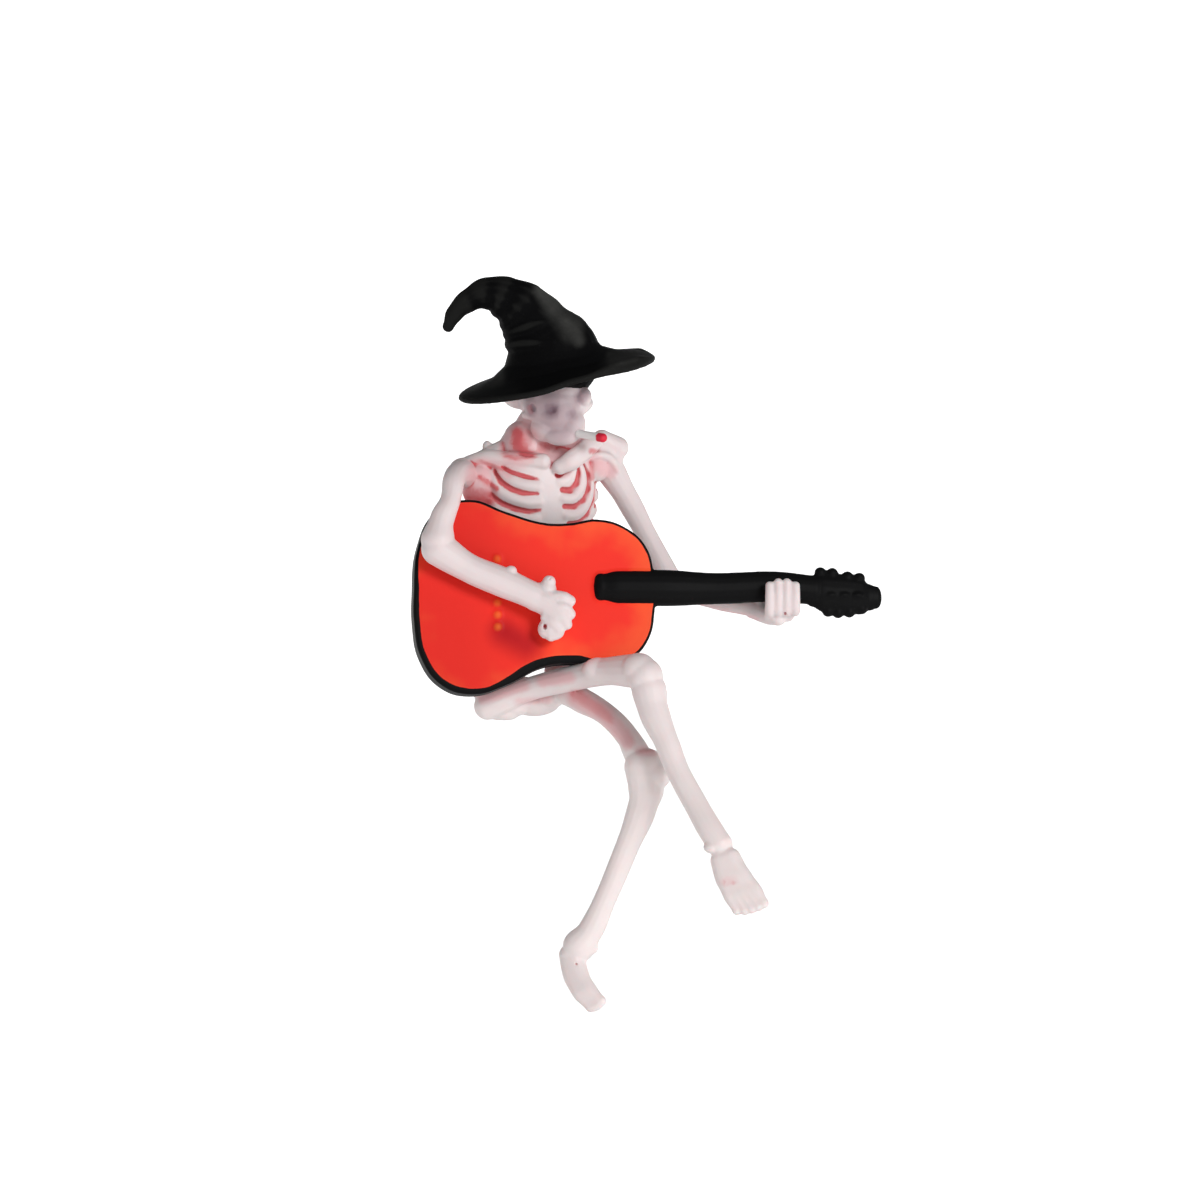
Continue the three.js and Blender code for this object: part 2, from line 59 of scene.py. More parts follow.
# The chest and the head turn to the figure's left, and the head leans the same way.
CHEST_CENTRE = (1.0, 3.2)
CHEST_TURN = 20 * DEGREE
CHEST_FLATNESS = 0.68
CHEST_SECTION = [(0, 23.0), (4.6, 23.3), (7.5, 25.4), (8.9, 29.0), (9.4, 33.0), (9.2, 35.6), (8.5, 37.6),
                 (7.3, 39.2), (4.6, 40.4), (0, 40.9)]
HEAD_CENTRE = (2.6, 2.8, 50.0)
HEAD_TURN = 33 * DEGREE
HEAD_LEAN = -12 * DEGREE

# The guitar leans back against the figure, and its neck swings away from the front.
GUITAR_CENTRE = (1.0, -10.8, 19.4)
GUITAR_LEAN = 15 * DEGREE
GUITAR_TURN = 8 * DEGREE
GUITAR_ROLL = -1.4 * DEGREE
NECK_HEIGHT = 1.8

BRIM_CENTRE = (3.9, 2.0, 51.8)
HAT_LEAN = -10.3 * DEGREE


def at(*place):
    """A place in millimetres as a vector in metres."""
    return Vector(place) * MM


def turned_frame(centre, lean, turn):
    """The axes of a part that is turned about the upright and then leaned sideways."""
    return (Matrix.Translation(at(*centre)) @ Matrix.Rotation(lean, 4, "Y")
            @ Matrix.Rotation(turn, 4, "Z"))


HEAD_FRAME = turned_frame(HEAD_CENTRE, HEAD_LEAN, HEAD_TURN)
HAT_FRAME = turned_frame(BRIM_CENTRE, HAT_LEAN, 0)
GUITAR_FRAME = (Matrix.Translation(at(*GUITAR_CENTRE)) @ Matrix.Rotation(GUITAR_TURN, 4, "Z")
                @ Matrix.Rotation(math.pi / 2 - GUITAR_LEAN, 4, "X")
                @ Matrix.Rotation(GUITAR_ROLL, 4, "Z"))


# Modelling

def select_only(form):
    bpy.ops.object.select_all(action="DESELECT")
    form.select_set(True)
    bpy.context.view_layer.objects.active = form


def settle(form, axes):
    """Moves a form to these axes and applies the move, so that the object itself stays at the origin."""
    select_only(form)
    form.matrix_world = axes
    bpy.ops.object.transform_apply(location=True, rotation=True, scale=True)
    return form


def weld(form):
    """Merges doubled points and turns the faces outward."""
    select_only(form)
    bpy.ops.object.mode_set(mode="EDIT")
    bpy.ops.mesh.select_all(action="SELECT")
    bpy.ops.mesh.remove_doubles(threshold=0.01 * MM)
    bpy.ops.mesh.normals_make_consistent(inside=False)
    bpy.ops.object.mode_set(mode="OBJECT")


def ball(centre, radii, axes=None):
    """A ball stretched to three radii. With axes, its centre and radii are measured in them."""
    bpy.ops.object.select_all(action="DESELECT")
    bpy.ops.mesh.primitive_uv_sphere_add(segments=24, ring_count=16, radius=MM)
    placed = Matrix.Translation(at(*centre)) @ Matrix.Diagonal((*radii, 1))
    return settle(bpy.context.object, axes @ placed if axes else placed)


def bar(stations, axes=None, flatten=None, closed=False):
    """A round bar through stations of (x, y, z, radius), with a ball on each end.

    flatten is three factors that squash the bar about its first station.
    """
    bpy.ops.object.select_all(action="DESELECT")
    bpy.ops.curve.primitive_bezier_curve_add(radius=MM)
    form = bpy.context.object
    form.data.dimensions = "3D"
    form.data.bevel_depth = MM
    form.data.bevel_resolution = 5
    form.data.resolution_u = 10
    form.data.use_fill_caps = not closed
    spline = form.data.splines[0]
    spline.use_cyclic_u = closed
    spline.radius_interpolation = "EASE"
    spline.bezier_points.add(len(stations) - len(spline.bezier_points))
    for point, (x, y, z, radius) in zip(spline.bezier_points, stations):
        point.co = at(x, y, z)
        point.radius = radius
        point.handle_left_type = "AUTO"
        point.handle_right_type = "AUTO"
    bpy.ops.object.convert(target="MESH")
    forms = [bpy.context.object]
    if not closed:
        for x, y, z, radius in (stations[0], stations[-1]):
            forms.append(ball((x, y, z), (radius, radius, radius)))
    form = joined(forms)
    if flatten:
        pivot = Matrix.Translation(at(*stations[0][:3]))
        settle(form, pivot @ Matrix.Diagonal((*flatten, 1)) @ pivot.inverted())
    if axes:
        settle(form, axes)
    return form


def spun(section, axes):
    """A solid turned from a section of (distance from the upright axis, height)."""
    bpy.ops.object.select_all(action="DESELECT")
    bpy.ops.mesh.primitive_plane_add(size=MM)
    form = bpy.context.object
    bpy.ops.object.mode_set(mode="EDIT")
    bpy.ops.mesh.select_all(action="SELECT")
    bpy.ops.mesh.delete(type="VERT")
    bpy.ops.object.mode_set(mode="OBJECT")
    form.data.vertices.add(len(section))
    form.data.edges.add(len(section) - 1)
    for i, (out, height) in enumerate(section):
        form.data.vertices[i].co = at(out, 0, height)
    for i in range(len(section) - 1):
        form.data.edges[i].vertices = (i, i + 1)
    bpy.ops.object.mode_set(mode="EDIT")
    bpy.ops.mesh.select_all(action="SELECT")
    bpy.ops.mesh.spin(steps=96, angle=2 * math.pi, center=(0, 0, 0), axis=(0, 0, 1))
    bpy.ops.object.mode_set(mode="OBJECT")
    weld(form)
    return settle(form, axes)


def joined(forms):
    bpy.ops.object.select_all(action="DESELECT")
    for form in forms:
        form.select_set(True)
    bpy.context.view_layer.objects.active = forms[0]
    if len(forms) > 1:
        bpy.ops.object.join()
    return bpy.context.object


def modify(piece, kind, **settings):
    """Adds a modifier with its settings and applies it."""
    select_only(piece)
    modifier = piece.modifiers.new(kind.lower(), kind)
    for name, value in settings.items():
        setattr(modifier, name, value)
    bpy.ops.object.modifier_apply(modifier=modifier.name)


def fused(forms, grid, softness):
    """One closed skin round all the forms, with softened creases."""
    piece = joined(forms)
    modify(piece, "REMESH", mode="VOXEL", voxel_size=grid, use_smooth_shade=True)
    modify(piece, "SMOOTH", factor=0.5, iterations=softness)
    return piece


def combine(piece, operation, tool):
    """Adds the tool to the piece or cuts it away, and removes the tool."""
    modify(piece, "BOOLEAN", operation=operation, solver="MANIFOLD", object=tool)
    bpy.data.objects.remove(tool, do_unlink=True)


def carve(piece, cutters, grid):
    """Cuts the fused cutters out of the piece."""
    combine(piece, "DIFFERENCE", fused(cutters, grid, softness=2))


def thin_out(piece, most_triangles):
    """Leaves fewer, larger triangles where the surface is plain."""
    triangles = sum(len(face.vertices) - 2 for face in piece.data.polygons)
    if triangles > most_triangles:
        modify(piece, "DECIMATE", ratio=most_triangles / triangles)


def finish_piece(piece, name, node, paint_job):
    """Names and paints a finished piece, and lets it stand for its node of the frame."""
    piece.name = name
    piece.data.name = name
    piece.data.materials.clear()
    piece.data.materials.append(paint_job(bpy.context.scene.figurine_finishes))
    for face in piece.data.polygons:
        face.use_smooth = True
    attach(piece, "root")
    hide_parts(node)


# Measures of a surface, kept as attributes for the paint

def points_of(mesh):
    points = np.empty(len(mesh.vertices) * 3)
    mesh.vertices.foreach_get("co", points)
    return points.reshape(-1, 3)


def normals_of(mesh):
    normals = np.empty(len(mesh.vertices) * 3)
    mesh.vertex_normals.foreach_get("vector", normals)
    return normals.reshape(-1, 3)


def keep_measure(mesh, name, values):
    mesh.attributes.new(name, "FLOAT", "POINT").data.foreach_set("value", values.astype(np.float32))


def spread_out(mesh, values, rounds):
    """Averages a value per vertex with its neighbours, `rounds` times."""
    pairs = np.empty(len(mesh.edges) * 2, dtype=int)
    mesh.edges.foreach_get("vertices", pairs)
    first, second = pairs.reshape(-1, 2).T
    count = len(mesh.vertices)
    share = 1 + np.bincount(first, minlength=count) + np.bincount(second, minlength=count)
    for _ in range(rounds):
        values = (values + np.bincount(first, values[second], count)
                  + np.bincount(second, values[first], count)) / share
    return values


def depth_in_crease(mesh, rounds):
    """How far each vertex lies under its smoothed neighbourhood, in metres."""
    points = points_of(mesh)
    smoothed = np.stack([spread_out(mesh, points[:, axis], rounds) for axis in range(3)], axis=1)
    return ((smoothed - points) * normals_of(mesh)).sum(axis=1)


def shelter(piece, others, reach, rays=14):
    """The share of the sky over each vertex that is blocked within reach, from 0 to 1."""
    trees = [BVHTree.FromPolygons([v.co for v in one.data.vertices],
                                  [face.vertices for face in one.data.polygons])
             for one in [piece, *others]]
    golden = math.pi * (3 - math.sqrt(5))
    spokes = []
    for i in range(rays):
        height = math.sqrt((i + 0.5) / rays)
        flat = math.sqrt(1 - height * height)
        spokes.append(Vector((flat * math.cos(golden * i), flat * math.sin(golden * i), height)))
    blocked = np.zeros(len(piece.data.vertices))
    lift = 0.08 * MM
    for vertex, entry in zip(piece.data.vertices, piece.data.vertex_normals):
        normal = entry.vector
        turn = normal.to_track_quat("Z", "Y")
        start = vertex.co + normal * lift
        hits = 0
        for spoke in spokes:
            way = turn @ spoke
            if any(tree.ray_cast(start, way, reach)[0] is not None for tree in trees):
                hits += 1
        blocked[vertex.index] = hits / rays
    return blocked


def nearness(points, paths):
    """The distance from each point to the nearest path, as a share of the path's radius there."""
    far = 9.0
    nearest = np.full(len(points), far)
    for path in paths:
        stations = np.array(path)
        for here, there in zip(stations, stations[1:]):
            way = there[:-1] - here[:-1]
            share = np.clip((points - here[:-1]) @ way / max(way @ way, 1e-6), 0, 1)
            gap = np.linalg.norm(points - here[:-1] - share[:, None] * way, axis=1)
            nearest = np.minimum(nearest, gap / (here[-1] + share * (there[-1] - here[-1])))
    return nearest


def ramp(values, low, high):
    """0 below low, 1 above high, and smooth between."""
    part = np.clip((values - low) / (high - low), 0, 1)
    return part * part * (3 - 2 * part)


# The skeleton's forms

def on_chest(degrees, height, sunk=0.0):
    """A point of the chest's skin: 0 degrees is the breastbone, and the figure's left is positive."""
    width = float(np.interp(height, *zip(*((z, out) for out, z in CHEST_SECTION)))) - sunk
    across = width * math.sin(degrees * DEGREE)
    back = -width * CHEST_FLATNESS * math.cos(degrees * DEGREE)
    return (CHEST_CENTRE[0] + across * math.cos(CHEST_TURN) - back * math.sin(CHEST_TURN),
            CHEST_CENTRE[1] + across * math.sin(CHEST_TURN) + back * math.cos(CHEST_TURN),
            height)


def rib_gaps():
    """The grooves between the ribs: round the front, and then round each side to the spine."""
    front = {
        1: [
            [(9, 36.9, 0.6), (20, 37.7, 0.5), (32, 38.6, 0.25)],
            [(12, 34.6, 0.44), (21, 34.4, 0.5), (29, 35.4, 0.5), (34, 36.9, 0.44), (37, 38.4, 0.25)],
            [(14, 32.1, 0.4), (26, 31.9, 0.45), (38, 32.8, 0.46), (46, 34.4, 0.46), (49, 36.4, 0.5),
             (47, 38.4, 0.4)],
            [(20, 29.4, 0.4), (34, 29.4, 0.45), (48, 30.5, 0.45), (58, 32.4, 0.45), (64, 35.0, 0.45),
             (66, 37.6, 0.4)],
        ],
        -1: [
            [(12, 36.3, 0.24), (25, 36.7, 0.36), (42, 37.4, 0.34), (66, 38.4, 0.36)],
            [(12, 34.2, 0.24), (27, 34.3, 0.42), (39, 34.9, 0.44), (51, 35.9, 0.44), (62, 37.4, 0.4)],
            [(10, 31.7, 0.26), (20, 31.5, 0.4), (34, 31.9, 0.44), (50, 32.8, 0.42), (66, 34.2, 0.4),
             (80, 36.2, 0.4)],
            [(18, 28.8, 0.4), (34, 29.2, 0.45), (52, 30.2, 0.45), (70, 31.6, 0.5), (86, 33.2, 0.5)],
        ],
    }
    near_spine = 166
    highest = 36.6
    pitch = 2.5
    rise = 1.7
    gaps = {}
    for side, paths in front.items():
        gaps[side] = [[(side * degrees, height, radius) for degrees, height, radius in path]
                      for path in paths]
        for level, start in enumerate((76, 74, 66, 58, 66)):
            gap = []
            for share in np.linspace(0, 1, 6):
                height = highest - pitch * level + rise * math.sin(share * math.pi / 2)
                gap.append((side * (start + (near_spine - start) * share), height, 0.46))
            gaps[side].append(gap)
    return gaps


def on_skin(paths, sunk):
    return [[(*on_chest(degrees, height, sunk), radius) for degrees, height, radius in path]
            for path in paths]


def ribs():
    """A rounded rib midway between each two gaps."""
    front_gaps = 4
    radius = 0.8
    middles = []
    for paths in rib_gaps().values():
        front, side = paths[:front_gaps], paths[front_gaps:]
        for pair in [*zip(front, front[1:]), *zip(side, side[1:])]:
            share = np.linspace(0, 1, 7)
            places = [[np.interp(share, np.linspace(0, 1, len(path)), axis) for axis in zip(*path)]
                      for path in pair]
            degrees, height, _ = np.mean(places, axis=0)
            middles.append([(d, h, radius) for d, h in zip(degrees, height)])
    return on_skin(middles, sunk=0.52)


def chest(grid):
    """A closed barrel with a flat breastbone and a groove between each pair of ribs."""
    turn = turned_frame((*CHEST_CENTRE, 0), 0, CHEST_TURN)
    barrel = spun(CHEST_SECTION, turn @ Matrix.Diagonal((1, CHEST_FLATNESS, 1, 1)))
    piece = fused([barrel, *[bar(path) for path in ribs()]], grid, softness=2)
    carve(piece, [bar(path) for path in groove_paths()], grid)
    return piece


def groove_paths():
    return on_skin([path for paths in rib_gaps().values() for path in paths], sunk=0.1)


def spine_forms():
    """Vertebrae like short spools, each with a blunt spur behind."""
    column = [(-2.6, 4.6, 5.0, 1.8), (-2.2, 6.2, 12.0, 1.6), (-1.5, 7.8, 20.0, 1.5), (-1.1, 8.9, 29.0, 1.5),
              (-0.6, 8.6, 37.0, 1.5), (0.6, 7.0, 42.5, 1.4), (1.8, 5.2, 46.5, 1.5)]
    forms = [bar([(x, y, z, 0.62 * radius) for x, y, z, radius in column])]
    lengths = [0.0]
    for here, there in zip(column, column[1:]):
        lengths.append(lengths[-1] + math.dist(here[:3], there[:3]))
    vertebrae = 19
    for i in range(vertebrae):
        along = lengths[-1] * (i + 0.5) / vertebrae
        x, y, z, radius = (float(np.interp(along, lengths, axis)) for axis in zip(*column))
        forms.append(ball((x, y, z), (radius * 1.08, radius, 0.88)))
        forms.append(bar([(x, y + 0.8, z, 0.7), (x, y + 1.5, z - 0.5, 0.62)]))
        for side in (-1, 1):
            forms.append(bar([(x, y + 0.4, z, 0.6), (x + side * 1.7, y + 0.8, z, 0.55)]))
    return forms


def shoulder_forms():
    forms = [
        bar([(2.0, -2.2, 38.9, 1.2), (-3.0, -1.5, 39.1, 1.2), (-6.6, -0.4, 39.0, 1.4),
             (-8.8, 0.2, 38.0, 1.6)]),
        bar([(4.6, -2.3, 38.1, 1.2), (6.2, -2.2, 39.0, 1.5), (7.9, -1.0, 40.2, 1.5), (9.6, 2.2, 41.4, 1.4)]),
        bar([(10.8, 5.4, 41.3, 1.55), (13.1, 6.2, 40.0, 1.75)]),
        bar([(11.0, 5.4, 39.2, 1.4), (12.6, 6.0, 38.4, 1.5)]),
        bar([(8.8, 3.0, 38.8, 0.6), (10.8, 3.4, 39.1, 0.7), (12.2, 3.8, 38.4, 0.7), (13.0, 4.2, 36.9, 0.55)]),
        ball((10.0, 3.8, 37.0), (1.7, 1.5, 1.9)),
        bar([(1.6, 3.8, 46.0, 2.7), (1.1, 3.5, 43.6, 3.3), (0.1, 3.1, 41.1, 4.3), (-0.2, 3.2, 39.4, 4.8)]),
        bar([(-2.4, 2.6, 40.2, 2.2), (-5.8, 1.6, 38.4, 2.3), (-8.8, 0.6, 37.0, 2.3)]),
        ball((-7.6, -1.2, 35.0), (2.6, 1.9, 3.4)),
        ball((-6.2, -0.8, 32.2), (1.8, 1.6, 2.0)),
        bar([(3.0, 4.6, 41.4, 2.6), (7.6, 5.6, 40.4, 2.3), (11.2, 6.0, 38.8, 2.3)]),
        ball((-6.4, 2.4, 40.6), (0.75, 0.8, 0.9)),
        ball((-4.2, -0.9, 40.1), (0.3, 0.35, 0.3)),
    ]
    for side, x, y, top in ((-1, -5.4, 6.6, 37.4), (1, 6.6, 10.6, 39.9)):
        blade = turned_frame((x, y, 35.6), 0, CHEST_TURN - side * 24 * DEGREE)
        forms.append(ball((0, 0, 0), (3.3, 0.95, 4.6), blade))
        forms.append(bar([(x - side * 2.4, y + 0.9, top - 3.1, 0.6),
                          (x + side * 1.6, y + 0.6, top - 1.1, 0.7), (x + side * 4.2, y - 3.4, top, 1.0)]))
    return forms


def collar_creases():
    """A curved crease at the base of the neck, and the slot over the breastbone."""
    return [
        [(-2.2, -1.8, 41.0, 0.2), (-1.3, -2.5, 40.0, 0.3), (1.0, -3.2, 39.9, 0.25)],
        [(6.0, -3.9, 40.3, 0.12), (6.7, -3.7, 41.0, 0.2)],
    ]


def pelvis_forms():
    turn = turned_frame((0, 0, 0), 0, CHEST_TURN)
    return [
        ball((-3.0, 4.7, 4.4), (2.5, 2.2, 3.6), turn),
        ball((-4.4, 0.1, 1.6), (3.0, 3.4, 2.1), turn),
        ball((0.6, 0.1, 2.6), (4.2, 4.2, 2.5)),
        ball((-3.2, 0.1, 2.5), (4.0, 4.2, 2.3), turn),
        bar([(-4.6, -4.6, 3.4, 1.2), (-1.4, -4.0, 3.0, 1.1), (2.2, -1.2, 2.8, 1.2)]),
        bar([(-2.8, 4.9, 8.0, 1.4), (-6.6, 2.6, 9.6, 1.2), (-7.8, -1.6, 7.4, 1.2), (-6.4, -4.0, 3.2, 1.8)]),
        bar([(-2.4, 4.9, 8.0, 1.4), (1.8, 6.2, 9.6, 1.2), (4.6, 3.8, 7.2, 1.2), (3.6, 1.2, 3.0, 1.8)]),
        ball((-1.3, 3.0, 3.4), (5.6, 3.0, 2.3), turn),
        ball((4.3, -2.6, 7.4), (2.2, 1.6, 1.3)),
        ball((3.2, -3.4, 3.5), (1.7, 1.6, 1.3)),
        bar([(4.2, -2.4, 7.0, 1.3), (4.0, 0.4, 4.0, 1.6)]),
    ]


def right_leg_forms():
    return [
        bar([(-6.3, -4.3, 2.3, 2.1), (0.1, -6.2, 5.2, 1.8), (6.8, -10.2, 7.5, 1.95), (11.2, -14, 9.0, 2.1),
             (16.1, -18.5, 9.8, 2.55)]),
        ball((10.2, -13.6, 9.2), (2.3, 1.9, 1.85)),
        ball((16.2, -19, 10.3), (2.6, 2.6, 2.25)),
        ball((17.1, -19.6, 9.1), (2.7, 2.7, 2.8)),
        bar([(17.7, -20.2, 7.2, 2.6), (18.3, -21.4, 4.5, 2.3), (20.4, -24, -0.3, 1.85),
             (21.8, -25.6, -3.7, 1.75), (24.5, -28.4, -8.4, 1.8), (26.7, -31, -11.9, 1.9),
             (27.9, -32, -13.5, 1.85)]),
        ball((26.6, -32.3, -13.9), (1.15, 1.4, 0.9)),
    ]


def left_leg_forms():
    return [
        bar([(3.6, 1.5, 4.6, 2.2), (7.7, -8, 3.8, 1.95), (11.5, -12, 2.2, 1.7), (14.5, -15, -0.5, 1.75),
             (15.8, -17, -2.5, 2.0)]),
        ball((17.1, -18.2, -4.5), (3.1, 2.9, 2.8)),
        ball((18.6, -18.6, -5.4), (2.5, 2.4, 2.5)),
        bar([(17.1, -18.3, -5.3, 2.9), (17.3, -18.4, -7.6, 2.75), (16.8, -18.4, -10.3, 2.25),
             (14.3, -18, -17.0, 1.8), (11.2, -17.7, -24.6, 1.7), (9.1, -17.4, -29.2, 1.95),
             (7.4, -17.2, -31.6, 2.45)]),
        ball((6.1, -17, -33.0), (1.75, 2.0, 1.6)),
        ball((9.2, -17.3, -31.9), (1.1, 1.4, 0.9)),
    ]


def foot_forms(stations, across, toe_reach):
    """Five soft rays that widen from the ankle and end in toes.

    Each station is (x, y, z, half the foot's width, a ray's radius). toe_reach is each toe's extra length.
    """
    across = Vector(across).normalized()
    forms = []
    rays = len(toe_reach)
    for i, reach in enumerate(toe_reach):
        shift = 2 * i / (rays - 1) - 1
        ray = [(*(Vector(place) + across * shift * (width - radius)), radius)
               for *place, width, radius in stations]
        x, y, z, radius = ray[-1]
        way = (Vector(ray[-1][:3]) - Vector(ray[-2][:3])).normalized() * reach
        ray[-1] = (x + way.x, y + way.y, z + way.z, radius)
        forms.append(bar(ray))
    return forms


def right_arm_forms():
    return [
        ball((-9.9, -0.6, 36.9), (2.4, 2.4, 2.4)),
        bar([(-9.9, -1.2, 36.9, 2.2), (-11.1, -8, 36.8, 1.7), (-11.6, -10.6, 34.1, 1.55),
             (-12.8, -12.3, 31.4, 1.85), (-13.4, -13.2, 28.5, 2.5)]),
        bar([(-13.3, -13.3, 27.2, 2.55), (-8.7, -13.4, 24.3, 2.15), (-4.2, -13.4, 22.4, 2.25),
             (0.2, -13.7, 20.5, 2.05), (1.8, -13.8, 19.7, 1.9)]),
        ball((-2.6, -13.6, 24.0), (0.9, 0.8, 0.75)),
    ]


def right_hand_forms():
    """A loose fist that brushes the strings, its fingers curled round a small pit."""
    fingers = [
        [(2.8, -14.1, 20.1, 1.0), (5.1, -14.5, 20.1, 0.95), (6.1, -14.3, 19.6, 0.85)],
        [(3.0, -14.7, 18.9, 0.9), (5.2, -15.1, 18.7, 0.9), (6.1, -14.7, 17.7, 0.85)],
        [(2.7, -14.8, 18.0, 0.85), (4.8, -15.4, 17.5, 0.85), (5.6, -14.9, 16.2, 0.85)],
        [(2.5, -14.6, 17.1, 0.8), (3.9, -15.3, 16.2, 0.8), (4.5, -15.0, 15.1, 0.8), (3.3, -14.7, 14.4, 0.8)],
    ]
    forms = [
        bar([(1.1, -13.7, 19.9, 1.95), (3.0, -13.8, 19.1, 2.1), (4.2, -13.9, 17.6, 2.25),
             (3.4, -13.9, 15.5, 1.85)]),
        ball((2.6, -14.1, 15.4), (1.3, 1.3, 1.5)),
        ball((1.5, -13.5, 20.7), (1.7, 1.4, 1.5)),
        bar([(2.4, -13.6, 20.1, 1.7), (2.8, -13.5, 21.6, 1.35), (3.0, -13.5, 22.3, 1.0)]),
    ]
    return forms + [bar(finger) for finger in fingers]


def left_arm_forms():
    return [
        ball((11.6, 5.8, 37.6), (2.3, 2.3, 2.2)),
        bar([(11.7, 6.0, 37.2, 2.3), (14.5, 6.4, 32.4, 1.85), (17.8, 6.8, 26.2, 1.6),
             (21.9, 7.0, 18.6, 1.7)]),
        bar([(21.9, 7.0, 18.6, 1.7), (27.6, 3.4, 17.4, 1.5), (33.6, -1.8, 16.6, 1.25)]),
    ]


def left_hand_forms():
    """Four fingers curl up in front of the guitar's neck, and the thumb stands behind it."""
    radius = 0.72
    first = 35.7
    apart = 1.27
    forms = [
        bar([(33.4, -1.6, 16.4, 1.3), (35.6, -4.2, 16.0, 1.4), (37.0, -6.2, 16.0, 1.3)]),
        bar([(35.0, -3.0, 16.0, 1.1), (38.4, -5.6, 16.3, 1.1)]),
        bar([(34.6, -2.6, 17.0, 0.9), (35.2, -1.6, 19.4, 0.8), (35.6, -1.8, 21.4, 0.75)]),
    ]
    for i in range(4):
        x = first + i * apart
        reach = 1.1 * math.sin((i + 0.8) / 4.6 * math.pi) - 0.7
        forms.append(bar([(x, -6.0, 16.2 + 0.25 * i, radius), (x, -8.2, 17.4, radius * 1.05),
                          (x, -8.5, 19.4, radius), (x, -8.0, 21.1 + reach, radius * 0.95)]))
    return forms


def skull_forms():
    """A rounded skull with full cheeks and a closed jaw."""
    on = HEAD_FRAME
    forms = [
        ball((0, 0, 0), (5.3, 6.4, 5.6), on),
        ball((-1.2, 3.4, 48.0), (2.9, 2.6, 1.9)),
        ball((4.3, -0.4, 46.0), (3.8, 3.9, 3.2)),
        ball((2.4, -0.4, 43.8), (2.3, 2.9, 2.2)),
        ball((6.4, -1.7, 44.4), (2.0, 2.3, 2.4)),
        ball((4.7, -1.9, 42.8), (2.8, 2.1, 1.6)),
        ball((3.4, 0.6, 47.6), (4.6, 4.6, 3.4)),
        bar([(-3.9, -3.6, -1.0, 1.1), (0, -5.4, -1.1, 1.15), (3.9, -3.6, -1.0, 1.1)], on),
        bar([(0, -5.6, -1.8, 0.6), (0, -6.0, -2.9, 0.5)], on),
        ball((8.0, -0.6, 48.4), (1.3, 1.6, 1.5)),
    ]
    for side in (-1, 1):
        forms.append(bar([(side * 2.0, -5.1, -4.4, 0.9), (side * 4.2, -3.4, -4.0, 0.85),
                          (side * 4.9, -0.2, -3.6, 0.7)], on))
    return forms


def skull_cutters():
    """Shallow sockets, a nose and the hollow of the temple."""
    return [
        ball((3.4, -5.2, 46.9), (1.15, 1.4, 0.95)),
        ball((8.3, -3.5, 48.9), (1.3, 1.5, 1.1)),
        ball((6.4, -4.9, 46.3), (0.55, 1.0, 0.6)),
        ball((0.3, -3.2, 46.9), (0.8, 1.1, 0.85)),
    ]


# Brush strokes of painted shade seen from the front, as stations of (x, z, radius), each with how thick the
# paint is.
# Reddish painted shade in the shaded creases of the neck, collar, armpits, temple, knee, foot and thigh.
RECESS_SHADE_STROKES = [
    ([(-1.8, 42.8, 1.2), (-1.7, 41.2, 1.3), (-0.6, 40.0, 0.9), (0.8, 39.8, 0.5)], 0.85),
    ([(-0.3, 43.0, 0.8), (-0.4, 41.0, 0.9)], 0.5),
    ([(-4.1, 41.2, 0.45), (-3.8, 39.9, 0.5), (-1.6, 39.2, 0.4)], 0.7),
    ([(1.6, 41.3, 0.6), (3.9, 40.7, 0.4)], 0.75),
    ([(1.2, 40.5, 0.5), (2.8, 40.3, 0.4)], 0.6),
    ([(-7.5, 39.0, 0.4), (-5.7, 38.2, 0.5), (-3.3, 37.6, 0.3)], 0.6),
    ([(9.2, 38.3, 0.5), (9.3, 35.9, 0.6)], 0.6),
    ([(9.2, 40.4, 0.6), (10.2, 40.0, 0.5)], 0.7),
    ([(0.0, 46.9, 0.7), (0.2, 46.2, 0.6)], 0.4),
    ([(28.3, -18.5, 0.35), (30.0, -18.4, 0.35)], 0.55),
    ([(16.2, -2.0, 0.25), (18.4, -2.0, 0.25)], 0.4),
    ([(6.8, 4.9, 1.2), (10.2, 3.2, 1.2), (12.2, 1.8, 0.8)], 0.5),
    ([(-9.0, 34.0, 1.5), (-6.2, 33.4, 1.7)], 0.7),
    ([(-9.6, 33.4, 0.6), (-6.0, 32.9, 0.6)], 0.95),
    ([(-7.4, 36.6, 0.5), (-4.9, 34.9, 0.5)], 0.9),
]
# Grey-lilac painted shade where the hat shades the face, and plum painted shade in the sockets, the nose and
# the temple.
HEAD_SHADE_STROKES = [
    ([(2.0, 49.0, 5.0), (4.2, 45.0, 4.4), (4.6, 43.4, 2.6)], 0.52),
    ([(3.4, 46.9, 1.3), (3.3, 46.5, 1.3)], 0.4),
    ([(8.0, 48.9, 1.4), (7.6, 48.3, 1.2)], 0.6),
    ([(6.4, 46.3, 0.9), (6.5, 45.9, 0.8)], 0.35),
    ([(0.0, 46.9, 1.0), (0.2, 46.2, 0.9)], 0.35),
    ([(-2.6, 43.4, 1.3), (-2.8, 41.0, 1.4)], 0.15),
]
